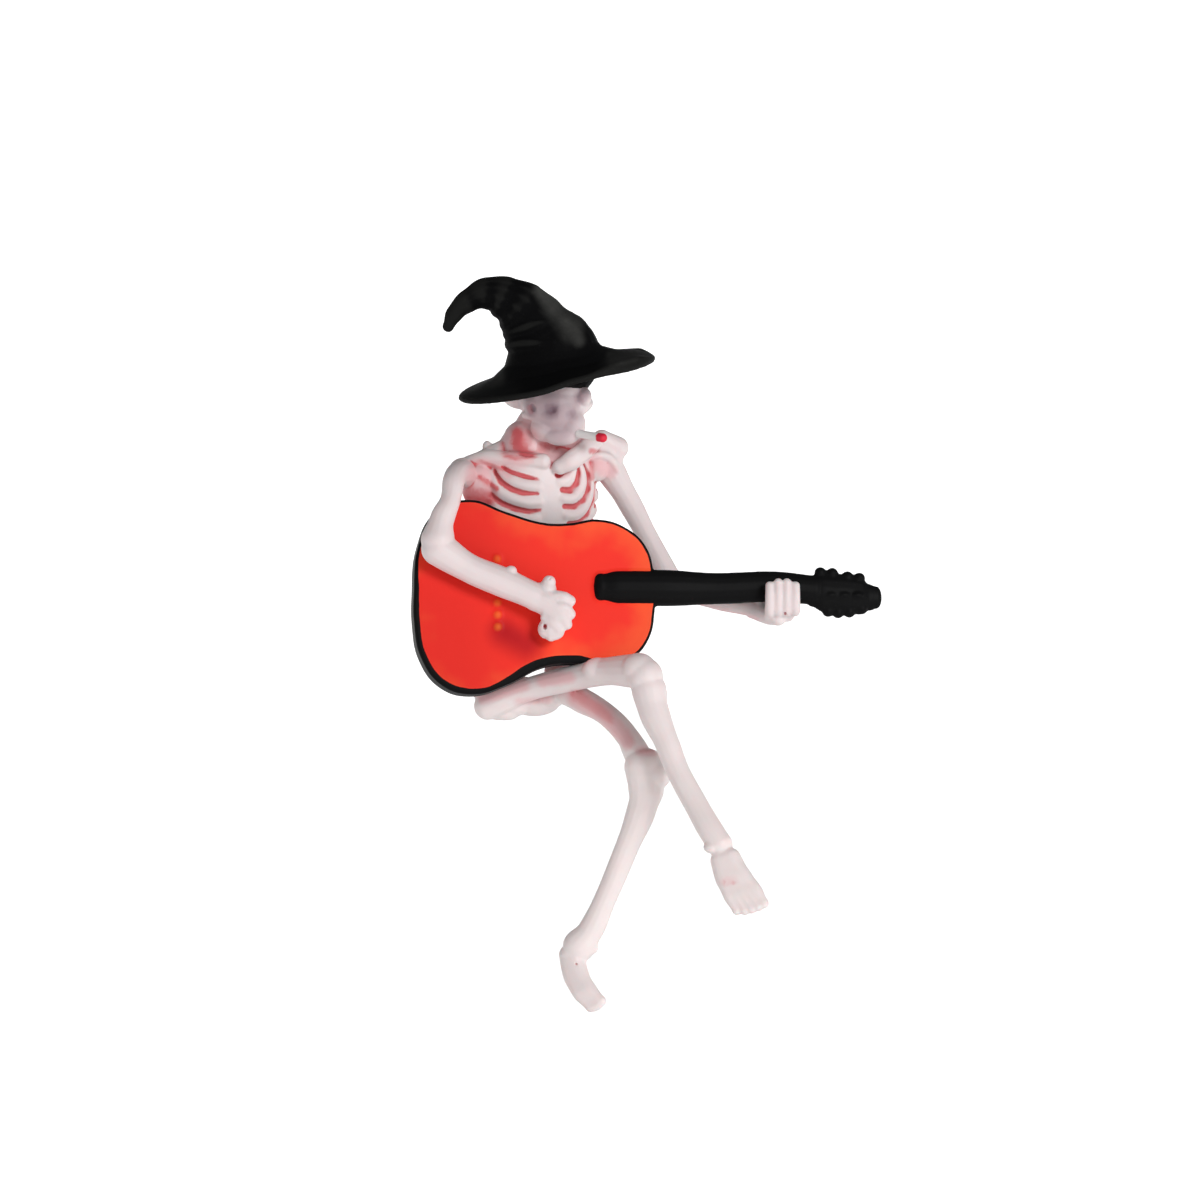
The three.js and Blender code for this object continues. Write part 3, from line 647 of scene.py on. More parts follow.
# Pink painted shade round the shaded places: neck, armpits, forearm, foot, knee, hip and the tops of the
# thighs.
PINK_SHADE_STROKES = [
    ([(-1.0, 42.6, 2.6), (-1.8, 40.6, 2.8)], 1.0),
    ([(-7.6, 37.4, 2.0), (-7.2, 33.6, 2.4)], 1.0),
    ([(-6.4, 38.6, 1.0), (-3.0, 37.2, 1.0)], 0.8),
    ([(9.6, 38.2, 1.3), (12.0, 36.6, 1.3)], 0.9),
    ([(26.1, 16.4, 0.8), (33.6, 15.0, 0.9)], 0.6),
    ([(28.4, -18.4, 0.8), (29.8, -18.2, 0.8)], 0.6),
    ([(16.2, -2.0, 0.7), (18.4, -2.0, 0.7)], 0.7),
    ([(-7.0, 4.0, 1.1), (-1.0, 6.0, 1.1)], 1.0),
    ([(-1.6, 3.4, 0.9), (2.6, 3.4, 0.9)], 0.7),
    ([(2.0, 7.0, 1.1), (6.0, 7.8, 1.0)], 1.0),
    ([(7.0, 4.4, 1.7), (11.0, 2.6, 1.6), (14.5, -0.8, 1.2)], 1.0),
]


def stroked(seen, strokes, low, high):
    """How much paint the strokes leave at each point seen from the front."""
    return np.max([ramp(-nearness(seen, [path]), low, high) * thickness
                   for path, thickness in strokes], axis=0)


def hollow_cutters():
    """The hole through the fist, and small pits in the thumb, the left hand and the left foot."""
    return [
        ball((2.4, -15.4, 15.9), (0.34, 1.0, 0.45)),
        ball((3.1, -14.4, 22.9), (0.24, 0.4, 0.2)),
        ball((38.0, -8.6, 16.9), (0.22, 0.6, 0.35)),
        ball((7.0, -20.2, -33.8), (0.25, 0.9, 0.2)),
    ]


RIGHT_FOOT = dict(
    stations=[(28.7, -33, -15.6, 2.3, 1.6), (29.5, -34, -17.5, 2.6, 1.5),
              (30.9, -35.4, -19.7, 2.9, 1.1), (32.1, -36.6, -21.6, 2.8, 0.74)],
    across=(0.94, -0.2, 0.26), toe_reach=(0.3, 0.6, 0.6, 0.5, 0.2))
LEFT_FOOT = dict(
    stations=[(6.5, -17.6, -33.6, 2.05, 1.7), (6.8, -18.6, -35.2, 2.0, 1.6),
              (8.0, -20.4, -37.4, 1.95, 1.3), (9.8, -22, -39.2, 1.8, 0.8)],
    across=(0.86, -0.3, 0.4), toe_reach=(0.3, 0.45, 0.4, 0.2, 0.0))


# Shader maths

def build(operation, *values, clamp=False):
    """A Math node on the tree of the first linked value."""
    link = next(value for value in values if isinstance(value, Level))
    node = link.paint.tree.nodes.new("ShaderNodeMath")
    node.operation = operation
    node.use_clamp = clamp
    for socket, value in zip(node.inputs, values):
        link.paint.feed(socket, value)
    return Level(link.paint, node.outputs[0])


class Level:
    """A socket with a number on it that can be used in sums."""

    def __init__(self, paint, socket):
        self.paint = paint
        self.socket = socket

    def __add__(self, other):
        return build("ADD", self, other)

    __radd__ = __add__

    def __sub__(self, other):
        return build("SUBTRACT", self, other)

    def __rsub__(self, other):
        return build("SUBTRACT", other, self)

    def __mul__(self, other):
        return build("MULTIPLY", self, other)

    __rmul__ = __mul__

    def __truediv__(self, other):
        return build("DIVIDE", self, other)

    def clamped(self):
        return build("ADD", self, 0.0, clamp=True)


class Paint:
    """A material and the nodes that it is mixed from."""

    def __init__(self, name):
        self.material = bpy.data.materials.new(name)
        self.material.use_nodes = True
        self.tree = self.material.node_tree
        self.shader = next(n for n in self.tree.nodes if n.type == "BSDF_PRINCIPLED")

    def feed(self, socket, value):
        if isinstance(value, Level):
            self.tree.links.new(value.socket, socket)
        elif isinstance(value, bpy.types.NodeSocket):
            self.tree.links.new(value, socket)
        elif isinstance(value, Color):
            socket.default_value = (*value, 1)
        else:
            socket.default_value = value

    def node(self, kind, settings=None, **values):
        """A node of this kind. Its settings go first, then its sockets by name."""
        node = self.tree.nodes.new(kind)
        for name, value in (settings or {}).items():
            setattr(node, name, value)
        for name, value in values.items():
            self.feed(node.inputs[name.replace("_", " ")], value)
        return node

    def place(self):
        return self.node("ShaderNodeTexCoord").outputs["Object"]

    def along(self, axis):
        """How far a place lies along an axis, in metres."""
        return Level(self, self.node("ShaderNodeSeparateXYZ", Vector=self.place()).outputs[axis])

    def noise(self, size, detail=2.0):
        """Noise from 0 to 1 with blotches of about this size in metres."""
        node = self.node("ShaderNodeTexNoise", Vector=self.place(), Scale=1 / size, Detail=detail)
        return Level(self, node.outputs["Fac"])

    def measure(self, name):
        node = self.node("ShaderNodeAttribute", {"attribute_name": name})
        return Level(self, node.outputs["Fac"])

    def step(self, value, low, high):
        node = self.node("ShaderNodeMapRange", {"interpolation_type": "SMOOTHSTEP"}, Value=value,
                         From_Min=low, From_Max=high)
        return Level(self, node.outputs["Result"])

    def mixed(self, share, under, over):
        """One colour over another, by a share from 0 to 1."""
        node = self.node("ShaderNodeMix", {"data_type": "RGBA"})
        factor, first, second = (node.inputs[i] for i in (0, 6, 7))
        self.feed(factor, share)
        self.feed(first, under)
        self.feed(second, over)
        return node.outputs[2]

    def bump(self, height, distance, strength):
        node = self.node("ShaderNodeBump", Strength=strength, Distance=distance, Height=height)
        self.feed(self.shader.inputs["Normal"], node.outputs["Normal"])

    def surface(self, **values):
        for name, value in values.items():
            self.feed(self.shader.inputs[name.replace("_", " ")], value)


def bone_paint(finishes):
    """White casting with reddish painted shade in the recesses, pink painted shade round them, grey-lilac
    painted shade on the head, and painted shade that greys the upper body over random mottling.
    """
    paint = Paint("shaded_bone")
    mottle = paint.noise(0.004, detail=3.0)
    recess_shade = paint.step(paint.measure("recess_shade") + (mottle - 0.5) * 0.25, 0.15, 0.95)
    pink_shade = paint.step(paint.measure("pink_shade") + (mottle - 0.5) * 0.3, 0.1, 1.0)
    # Random mottling, and painted shade that greys the body upward from the seat.
    grey = (mottle * 0.5 + paint.step(paint.along("Z"), -0.01, 0.02) * 0.7).clamped()
    colour = paint.mixed(grey, finishes.bone_white, finishes.mottle_and_shade_grey)
    # Painted shade on the head: grey-lilac, and plum where it is thickest.
    head_shade = paint.measure("head_shade")
    colour = paint.mixed((head_shade * 2.0).clamped(), colour, finishes.head_shade_lilac)
    colour = paint.mixed((head_shade * 2.0 - 1.0).clamped(), colour, finishes.socket_shade_plum)
    # Pink painted shade round the recesses.
    colour = paint.mixed(pink_shade * 0.7, colour, finishes.shade_pink)
    # Reddish painted shade in the recesses.
    colour = paint.mixed(recess_shade * 0.9, colour, finishes.shade_red)
    rough = 0.42 + paint.noise(0.0012) * 0.16
    paint.surface(Base_Color=colour, Roughness=rough, Subsurface_Weight=0.25,
                  Subsurface_Radius=(1.0, 0.28, 0.22), Subsurface_Scale=0.0012, Specular_IOR_Level=0.4)
    paint.bump(paint.noise(0.0007, detail=3.0) * 0.7 + paint.noise(0.003) * 0.3, 0.00004, 0.6)
    return paint.material


def hat_paint(finishes):
    """Black satin paint, thinner on the raised folds, with painted highlights on the crown's right flank and
    on the brim.
    """
    paint = Paint("satin_black_hat")
    patches = paint.noise(0.006, detail=4.0)
    worn = paint.step(paint.measure("raised") + (patches - 0.5) * 0.6, 0.35, 1.1)
    colour = paint.mixed(worn, finishes.hat_black, finishes.worn_black)
    # Painted highlights, broken up in patches.
    painted_highlight = paint.measure("painted_highlight") * (patches * 2.4 - 0.3)
    colour = paint.mixed(painted_highlight.clamped(), colour, finishes.highlight_grey)
    rough = 0.42 + patches * 0.16
    paint.surface(Base_Color=colour, Roughness=rough, Specular_IOR_Level=0.012)
    paint.bump(paint.noise(0.0009, detail=4.0) * 0.6 + patches * 0.4, 0.00006, 0.7)
    return paint.material


def guitar_paint(finishes):
    """An orange-red face with a painted orange highlight toward the rim and the key light, the fist's painted
    shadow and painted shade in deeper red, painted highlights on the bridge's dots, and hand-painted black
    sides that lap over its rim.
    """
    paint = Paint("painted_guitar")
    drift = paint.noise(0.005, detail=2.0)
    brush = paint.noise(0.0016, detail=3.0)
    rim = paint.measure("rim")
    black = paint.step(paint.measure("black") + (brush - 0.5) * 0.5, 0.42, 0.56)
    # Orange painted highlight toward the rim and toward the side that faces the key light, broken up by
    # random drift.
    rim_highlight = paint.step((1.0 - rim / 6.0) + (drift - 0.5) * 1.6 + paint.measure("across") / 0.05, 0.3, 1.25)
    face = paint.mixed(rim_highlight * 0.85, finishes.guitar_red, finishes.highlight_orange)
    # Deeper red as the fist's painted shadow and as painted shade on the side away from the key light.
    face = paint.mixed(paint.measure("deep").clamped(), face, finishes.shadow_red)
    # Amber painted highlight on the bridge's dots.
    face = paint.mixed(paint.measure("dots") * 0.36, face, finishes.dot_highlight_amber)
    colour = paint.mixed(black, face, finishes.edge_black)
    rough = 0.3 + drift * 0.1 + black * 0.12
    paint.surface(Base_Color=colour, Roughness=rough, Specular_IOR_Level=0.05)
    paint.bump(brush * 0.5 + paint.noise(0.0006, detail=3.0) * 0.5, 0.00004, 0.6)
    return paint.material


def paper_paint(finishes):
    """White paper stick with a painted red tip."""
    paint = Paint("painted_stick")
    grain = paint.noise(0.0005, detail=3.0)
    tip = paint.step(paint.measure("tip") + (grain - 0.5) * 0.1, 0.8, 0.84)
    colour = paint.mixed(tip, finishes.paper_white, finishes.ember_red)
    paint.surface(Base_Color=colour, Roughness=0.5 + grain * 0.15)
    paint.bump(grain, 0.00002, 0.5)
    return paint.material


# What a user would change

def size_property(name, description, default):
    return bpy.props.FloatProperty(name=name, description=description, default=default, min=0.0001,
                                   unit="LENGTH", precision=5)


def colour_property(name, description, default):
    return bpy.props.FloatVectorProperty(name=name, description=description, default=default, size=3,
                                         min=0, max=1, subtype="COLOR")


class FigurineSizes(bpy.types.PropertyGroup):
    bone_grid: size_property("Bone grid", "Step of the grid that fuses the bones into one skin", 0.00019)
    brim_radius: size_property("Brim radius", "Half the width of the hat", 0.0151)
    guitar_depth: size_property("Guitar depth", "Thickness of the guitar's body", 0.0042)
    cigarette_radius: size_property("Cigarette radius", "Half the thickness of the cigarette", 0.00062)


class FigurineFinishes(bpy.types.PropertyGroup):
    bone_white: colour_property("Bone white", "Open surfaces of the bones", (0.88, 0.79, 0.775))
    # Mottling, and painted shade over most of the upper body.
    mottle_and_shade_grey: colour_property("Bone grey", "Mottling, and most of the upper body", (0.78, 0.68, 0.68))
    # Pink painted shade round the recesses.
    shade_pink: colour_property("Blush", "Tint round the recesses", (0.80, 0.42, 0.44))
    # Painted shade where the hat shades the head.
    head_shade_lilac: colour_property("Dusk", "Thin grey-lilac paint on the head", (0.5, 0.385, 0.41))
    # Painted shade in the sockets.
    socket_shade_plum: colour_property("Dusk plum", "Thicker paint in the sockets", (0.13, 0.06, 0.09))
    # Reddish painted shade in the recesses.
    shade_red: colour_property("Wash", "Paint left in the recesses", (0.62, 0.07, 0.08))
    hat_black: colour_property("Hat black", "Paint of the hat", (0.0045, 0.0045, 0.0048))
    worn_black: colour_property("Worn black", "Thin paint on the hat's folds", (0.014, 0.014, 0.0135))
    # Painted highlight on the hat.
    highlight_grey: colour_property("Brushed grey", "Dry-brushed paint on the hat", (0.055, 0.055, 0.052))
    guitar_red: colour_property("Guitar red", "Face of the guitar", (0.94, 0.038, 0.024))
    # Painted highlight toward the rim.
    highlight_orange: colour_property("Guitar orange", "Thinner paint near the rim", (0.98, 0.105, 0.035))
    # Painted shadow of the fist, and painted shade on the far side.
    shadow_red: colour_property("Guitar deep red", "Thicker paint low on the face", (0.4, 0.006, 0.012))
    # Painted highlight on the bridge's dots.
    dot_highlight_amber: colour_property("Dot amber", "Worn dots of the guitar's bridge", (0.98, 0.3, 0.04))
    edge_black: colour_property("Edge black", "Sides and neck of the guitar", (0.0055, 0.0055, 0.0058))
    paper_white: colour_property("Paper white", "Cigarette paper", (0.85, 0.82, 0.81))
    ember_red: colour_property("Tip red", "Painted tip of the cigarette", (0.72, 0.01, 0.04))


class FigurineStage(bpy.types.PropertyGroup):
    lens: bpy.props.FloatProperty(
        name="Lens", description="Focal length of the camera", default=160, unit="CAMERA")
    camera_distance: bpy.props.FloatProperty(
        name="Camera distance", description="From the lens to the figure", default=0.8, unit="LENGTH")
    camera_elevation: bpy.props.FloatProperty(
        name="Camera elevation", description="Angle of the view over the horizon", default=8 * DEGREE,
        subtype="ANGLE")
    aim: bpy.props.FloatVectorProperty(
        name="Aim", description="Place at the middle of the picture", default=(0.0105, 0, 0.01772),
        subtype="XYZ", unit="LENGTH")
    key_power: bpy.props.FloatProperty(
        name="Key light", description="Power of the main light, from the right", default=5.4, unit="POWER")
    fill_power: bpy.props.FloatProperty(
        name="Fill light", description="Power of the light from the left", default=0.1, unit="POWER")
    sky: bpy.props.FloatProperty(name="Sky", description="Strength of the white surroundings", default=0.16)


# One operator for each piece

class FIGURINE_OT_skeleton(bpy.types.Operator):
    """Casts the seated skeleton in one piece, with reddish painted shade in its recesses"""
    bl_idname = "figurine.skeleton"
    bl_label = "Skeleton"

    def execute(self, context):
        sizes = context.scene.figurine_sizes
        grid = sizes.bone_grid
        fine_grid = grid * 0.8
        skull = fused(skull_forms(), fine_grid, softness=18)
        carve(skull, skull_cutters(), fine_grid)
        body = fused([
            chest(grid), *spine_forms(), *shoulder_forms(), *pelvis_forms(), *right_leg_forms(),
            *left_leg_forms(), *foot_forms(**RIGHT_FOOT), *foot_forms(**LEFT_FOOT), *right_arm_forms(),
            *right_hand_forms(), *left_arm_forms(), *left_hand_forms(),
        ], grid, softness=3)
        carve(body, hollow_cutters() + [bar(path) for path in collar_creases()], grid * 0.6)
        combine(body, "UNION", skull)
        self.level_the_seat(body)
        thin_out(body, most_triangles=190_000)
        self.measure_for_paint(body)
        finish_piece(body, "skeleton_casting", "skeleton", bone_paint)
        return {"FINISHED"}

    def level_the_seat(self, body):
        """Cuts the flat under the pelvis and the left thigh that rests on the shelf."""
        bpy.ops.object.select_all(action="DESELECT")
        width, depth, height = 24, 20, 20
        bpy.ops.mesh.primitive_cube_add(size=1, location=at(2, 1.2, -height / 2),
                                        scale=at(width, depth, height))
        combine(body, "DIFFERENCE", bpy.context.object)

    def measure_for_paint(self, body):
        """Keeps where the painted shade lies: red and pink in and round the recesses, and grey-lilac on the
        head, found from the recesses and along the strokes.
        """
        mesh = body.data
        crease = depth_in_crease(mesh, rounds=40)
        covered = shelter(body, [], reach=9 * MM)
        grooves = nearness(points_of(mesh) / MM, groove_paths() + collar_creases())
        facing = ramp(-normals_of(mesh)[:, 1], -0.2, 0.2)
        seen = points_of(mesh)[:, [0, 2]] / MM
        # Reddish painted shade along the strokes.
        strokes = facing * stroked(seen, RECESS_SHADE_STROKES, -1.35, -0.4)
        # Pink painted shade along the strokes.
        stroked_pink_shade = facing * stroked(seen, PINK_SHADE_STROKES, -1.6, -0.3)
        # Grey-lilac and plum painted shade on the head.
        head_shade = facing * sum(stroked(seen, [stroke], -1.2, -0.3) for stroke in HEAD_SHADE_STROKES)
        head_stroke = HEAD_SHADE_STROKES[0][0]
        bare = 1 - 0.85 * stroked(seen, [(head_stroke, 1.0)], -1.05, -0.9)
        # Reddish painted shade in creases, in sheltered places away from the face, in the rib grooves and
        # along the strokes.
        recess_shade = np.max([ramp(crease, 0.12 * MM, 0.36 * MM) * bare, ramp(covered, 0.76, 0.97) * bare,
                       ramp(-grooves, -1.3, -0.85), strokes], axis=0)
        # Pink painted shade round sheltered places and round the red shade.
        pink_shade = spread_out(mesh, np.maximum(ramp(covered, 0.35, 0.85), recess_shade * 0.7), rounds=8)
        keep_measure(mesh, "head_shade", spread_out(mesh, np.clip(head_shade, 0, 1), rounds=4))
        keep_measure(mesh, "recess_shade", spread_out(mesh, recess_shade, rounds=1))
        keep_measure(mesh, "pink_shade", spread_out(mesh, np.maximum(pink_shade, stroked_pink_shade), rounds=2))


class FIGURINE_OT_hat(bpy.types.Operator):
    """Models the pointed hat, with its soft folds and curled tip"""
    bl_idname = "figurine.hat"
    bl_label = "Hat"

    # Painted highlights on the crown's right flank and on both sides of the brim.
    painted_highlight = [
        ([(1.4, 64.3, 0.8), (3.9, 61.6, 1.3), (6.2, 58.7, 1.5), (7.4, 57.0, 0.8)], 1.0),
        ([(-8.4, 50.2, 0.8), (-4.6, 51.6, 0.9)], 0.55),
        ([(12.0, 54.6, 0.6), (15.6, 54.9, 0.6)], 0.4),
    ]

    crown = [(3.7, 54.2, 6.9), (3.2, 55.5, 6.6), (1.9, 57.3, 5.9), (0.65, 59.2, 5.0), (-1.2, 61.3, 4.3),
             (-3.8, 63.0, 3.3), (-6.3, 63.6, 2.5), (-9.0, 62.6, 1.8), (-11.2, 60.6, 1.35),
             (-12.15, 58.7, 0.9)]

    def execute(self, context):
        radius = context.scene.figurine_sizes.brim_radius / MM
        crown = bar([(x, BRIM_CENTRE[1], z, thickness) for x, z, thickness in self.crown])
        piece = fused([crown, *self.folds(), self.brim(radius)], grid=0.22 * MM, softness=3)
        pocket = ball((0, 0, 0), (5.6, 6.7, 5.9), HEAD_FRAME)
        combine(piece, "DIFFERENCE", pocket)
        thin_out(piece, most_triangles=120_000)
        mesh = piece.data
        seen = points_of(mesh)[:, [0, 2]] / MM
        facing = ramp(-normals_of(mesh)[:, 1], -0.2, 0.3)
        keep_measure(mesh, "raised", ramp(-depth_in_crease(mesh, rounds=60), 0.0, 0.25 * MM))
        # Where the painted highlights lie, on the forward-facing surface.
        keep_measure(mesh, "painted_highlight", facing * stroked(seen, self.painted_highlight, -1.8, 0.0))
        finish_piece(piece, "curled_hat", "witch_hat", hat_paint)
        return {"FINISHED"}

    def folds(self):
        """Soft rolls across the crown, as in a hat that sags under its own weight."""
        thickness = 1.2
        proud = 0.12
        wave = 0.3
        turns = 12
        forms = [ball((-3.1, 1.4, 59.7), (1.25, 2.0, 1.0)), ball((-0.2, 2.0, 63.5), (2.2, 2.2, 1.7))]
        for x, z, radius, tilt in ((2.5, 56.4, 6.2, 4), (1.0, 58.9, 5.15, 14), (-1.1, 61.0, 4.05, 36)):
            reach = radius - thickness + proud
            roll = []
            for i in range(turns):
                angle = 2 * math.pi * i / turns
                roll.append((reach * math.cos(angle), reach * math.sin(angle),
                             wave * math.sin(2 * angle + radius), thickness))
            axes = turned_frame((x, BRIM_CENTRE[1], z), -tilt * DEGREE, 0)
            forms.append(bar(roll, axes, closed=True))
        return forms

    def brim(self, radius):
        """Spins the brim's section, thickens its left end and bends its front edge."""
        section = [(0, 4.6), (6.5, 4.2), (7.4, 2.3), (9.6, 0.9), (12.2, 0.3), (radius - 0.3, -0.1),
                   (radius, -0.5), (radius - 0.4, -1.0), (11.5, -0.8), (8.0, -0.5), (0, -0.4)]
        brim = spun(section, Matrix.Identity(4))
        crown_radius = 6.9
        droop = 0.9
        lift = 0.8
        front_lift = 0.55
        top_side = -0.3
        for vertex in brim.data.vertices:
            left = vertex.co.x / MM
            front = ramp(-vertex.co.y / MM, 6.0, 12.0)
            rise = front_lift * ramp(left, -3.0, 3.0) * (1 - ramp(left, 6.0, 12.0)) * front
            vertex.co.z += rise * MM
            if vertex.co.z > top_side * MM:
                vertex.co.z += lift * ramp(left, 4.5, 10.0) * (1 - ramp(left, 13.0, radius)) * MM
            outward = ramp(vertex.co.xy.length / MM, crown_radius, radius)
            front_right = max(0, -(vertex.co.x + vertex.co.y) / MM / (radius * math.sqrt(2)))
            vertex.co.z -= droop * outward * front_right * MM
        return settle(brim, HAT_FRAME)


class FIGURINE_OT_guitar(bpy.types.Operator):
    """Models the guitar flat, paints its rim and leans it on the figure"""
    bl_idname = "figurine.guitar"
    bl_label = "Guitar"

    outline = [(-18.1, 1.0), (-17.4, 7.8), (-14.6, 13.2), (-9.6, 14.8), (-4.2, 13.0), (1.6, 11.4),
               (5.2, 11.4), (9.4, 12.0), (13.4, 10.9), (16.6, 8.0), (17.8, 3.4), (17.8, -1.8),
               (16.9, -5.8), (14.4, -8.7), (10.0, -9.8), (5.4, -9.5), (1.2, -10.0), (-4.2, -12.7),
               (-9.6, -14.2), (-14.0, -12.9), (-17.1, -8.8), (-18.1, -3.6)]
    dots = [(-5.7, height, 0) for height in (5.9, -0.6, -2.4, -4.2)]

    def execute(self, context):
        depth = context.scene.figurine_sizes.guitar_depth / MM
        body, rim_line = self.body(depth)
        piece = fused([body, self.neck(), *self.headstock(), *self.bridge()], grid=0.2 * MM, softness=2)
        thin_out(piece, most_triangles=160_000)
        self.measure_for_paint(piece.data, rim_line)
        settle(piece, GUITAR_FRAME)
        finish_piece(piece, "painted_guitar", "guitar", guitar_paint)
        return {"FINISHED"}

    def measure_for_paint(self, mesh, rim_line):
        """Keeps where the black laps over the face, where the fist's painted shadow and the painted shade
        away from the light make the red deeper, and where the bridge's dots get their painted highlight.
        """
        points = points_of(mesh)
        x, y, z = points.T / MM
        rim = self.distance_to(rim_line, points)
        neck_start = 8.0
        body_end = 17.8
        neck = ramp(x, neck_start, neck_start + 0.3) * ramp(z, 0.12, 0.3)
        beyond = ramp(x, body_end, body_end + 0.2)
        below_face = ramp(-z, 0.25, 0.55)
        right = ramp(-x, -2.0, 12.0)
        waist = ramp(-y, 6.0, 9.0) * ramp(-np.abs(x - 2.0), -9.0, -4.0)
        lap = 0.42 + 0.45 * right * ramp(-y, -8.0, 2.0) + 0.8 * waist
        at_rim = ramp(lap - rim, -0.25, 0.25)
        dot_radius = 0.8
        dots = nearness(points / MM, [[(*dot, dot_radius)] * 2 for dot in self.dots])
        # Painted shadow cast by the fist and the wrist on the face.
        fist_shadow = nearness(points[:, :2] / MM, [[(-4.6, -5.0, 3.6), (-1.4, -6.8, 3.8)]])
        keep_measure(mesh, "rim", rim)
        keep_measure(mesh, "across", points[:, 0])
        # Where the bridge's dots get their painted highlight.
        keep_measure(mesh, "dots", ramp(-dots, -1.0, -0.3))
        keep_measure(mesh, "deep", 0.75 * ramp(-fist_shadow, -1.1, 0.0) + 0.3 * right)
        keep_measure(mesh, "black", np.max([neck, beyond, below_face, at_rim], axis=0))

    def body(self, depth):
        """A flat curve filled and given its thickness with rounded edges, and its outline's points."""
        bpy.ops.object.select_all(action="DESELECT")
        bpy.ops.curve.primitive_bezier_circle_add(radius=MM)
        form = bpy.context.object
        form.data.dimensions = "2D"
        form.data.fill_mode = "BOTH"
        form.data.resolution_u = 8
        edge = 0.35
        spline = form.data.splines[0]
        spline.bezier_points.add(len(self.outline) - len(spline.bezier_points))
        for point, (x, y) in zip(spline.bezier_points, self.outline):
            point.co = at(x, y, 0)
            point.handle_left_type = "AUTO"
            point.handle_right_type = "AUTO"
        form.data.extrude = (depth / 2 - edge) * MM
        form.data.bevel_depth = edge * MM
        form.data.bevel_resolution = 3
        form.data.offset = -edge * MM
        bpy.ops.object.convert(target="MESH")
        form = settle(bpy.context.object, Matrix.Translation(at(0, 0, -depth / 2)))
        weld(form)
        places = points_of(form.data)
        upright = (depth / 2 - edge) * MM * 1.001
        return form, places[np.abs(places[:, 2] + depth / 2 * MM) < upright, :2]

    def distance_to(self, rim_line, points):
        """Millimetres from each point to the outline of the body, seen from the front."""
        start = rim_line[np.argsort(np.arctan2(rim_line[:, 1], rim_line[:, 0]))]
        way = np.roll(start, -1, axis=0) - start
        length = (way * way).sum(axis=1)
        keep = length > (0.02 * MM) ** 2
        start, way, length = start[keep], way[keep], length[keep]
        nearest = np.full(len(points), np.inf)
        for origin, step, size in zip(start, way, length):
            offset = points[:, :2] - origin
            share = np.clip((offset @ step) / size, 0, 1)
            gap = offset - share[:, None] * step
            nearest = np.minimum(nearest, (gap * gap).sum(axis=1))
        return np.sqrt(nearest) / MM

    def neck(self):
        stations = [(9.9, 0, -0.6, 1.5), (12.4, 0, -0.6, 1.72), (19.0, 0, -0.6, 1.72),
                    (28.0, 0, -0.8, 1.48), (36.0, 0.2, -0.9, 1.46), (42.0, -0.1, -1.0, 1.4)]
        board = bar([(x, NECK_HEIGHT + y, z, radius) for x, y, z, radius in stations], flatten=(1, 1.6, 1))
        corners = [ball((9.7, NECK_HEIGHT + side * 1.1, -0.6), (1.2, 1.2, 1.3)) for side in (-1, 1)]
        return joined([board, *corners])

    def headstock(self):
        """A broad flat end with worn lumps for the pegs."""
        pegs = [(43.0, 4.3), (44.8, 4.2), (47.1, 3.7), (48.9, 3.5),
                (44.1, -1.5), (45.6, -1.7), (47.3, -1.6), (49.2, -1.1)]
        forms = [bar([(41.6, 1.5, -1.0, 1.1), (43.4, 1.4, -1.1, 1.38), (46.4, 1.3, -1.2, 1.42),
                      (48.9, 1.2, -1.3, 1.34), (50.4, 1.1, -1.4, 0.95), (51.5, 1.1, -1.4, 0.8)],
                     flatten=(1, 2.15, 1))]
        forms += [ball((x, y, -1.2), (0.9, 0.85, 0.95)) for x, y in pegs]
        forms += [ball((x, 0.8, 0.1), (0.9, 0.4, 0.35)) for x in (44.4, 46.4, 48.4)]
        return forms

    def bridge(self):
        """Low dots in a line across the face."""
        return [ball(dot, (0.6, 0.7, 0.3)) for dot in self.dots]


class FIGURINE_OT_cigarette(bpy.types.Operator):
    """Models the cigarette in the corner of the mouth"""
    bl_idname = "figurine.cigarette"
    bl_label = "Cigarette"

    def execute(self, context):
        radius = context.scene.figurine_sizes.cigarette_radius / MM
        start = np.array((7.4, -3.5, 43.2))
        end = np.array((10.9, -6.6, 42.9))
        piece = fused([bar([(*start, radius * 0.97), (9.2, -5.0, 43.0, radius), (*end, radius * 1.1)])],
                      grid=0.09 * MM, softness=2)
        way = end - start
        keep_measure(piece.data, "tip", (points_of(piece.data) / MM - start) @ way / (way @ way))
        finish_piece(piece, "cigarette_stick", "cigarette", paper_paint)
        return {"FINISHED"}


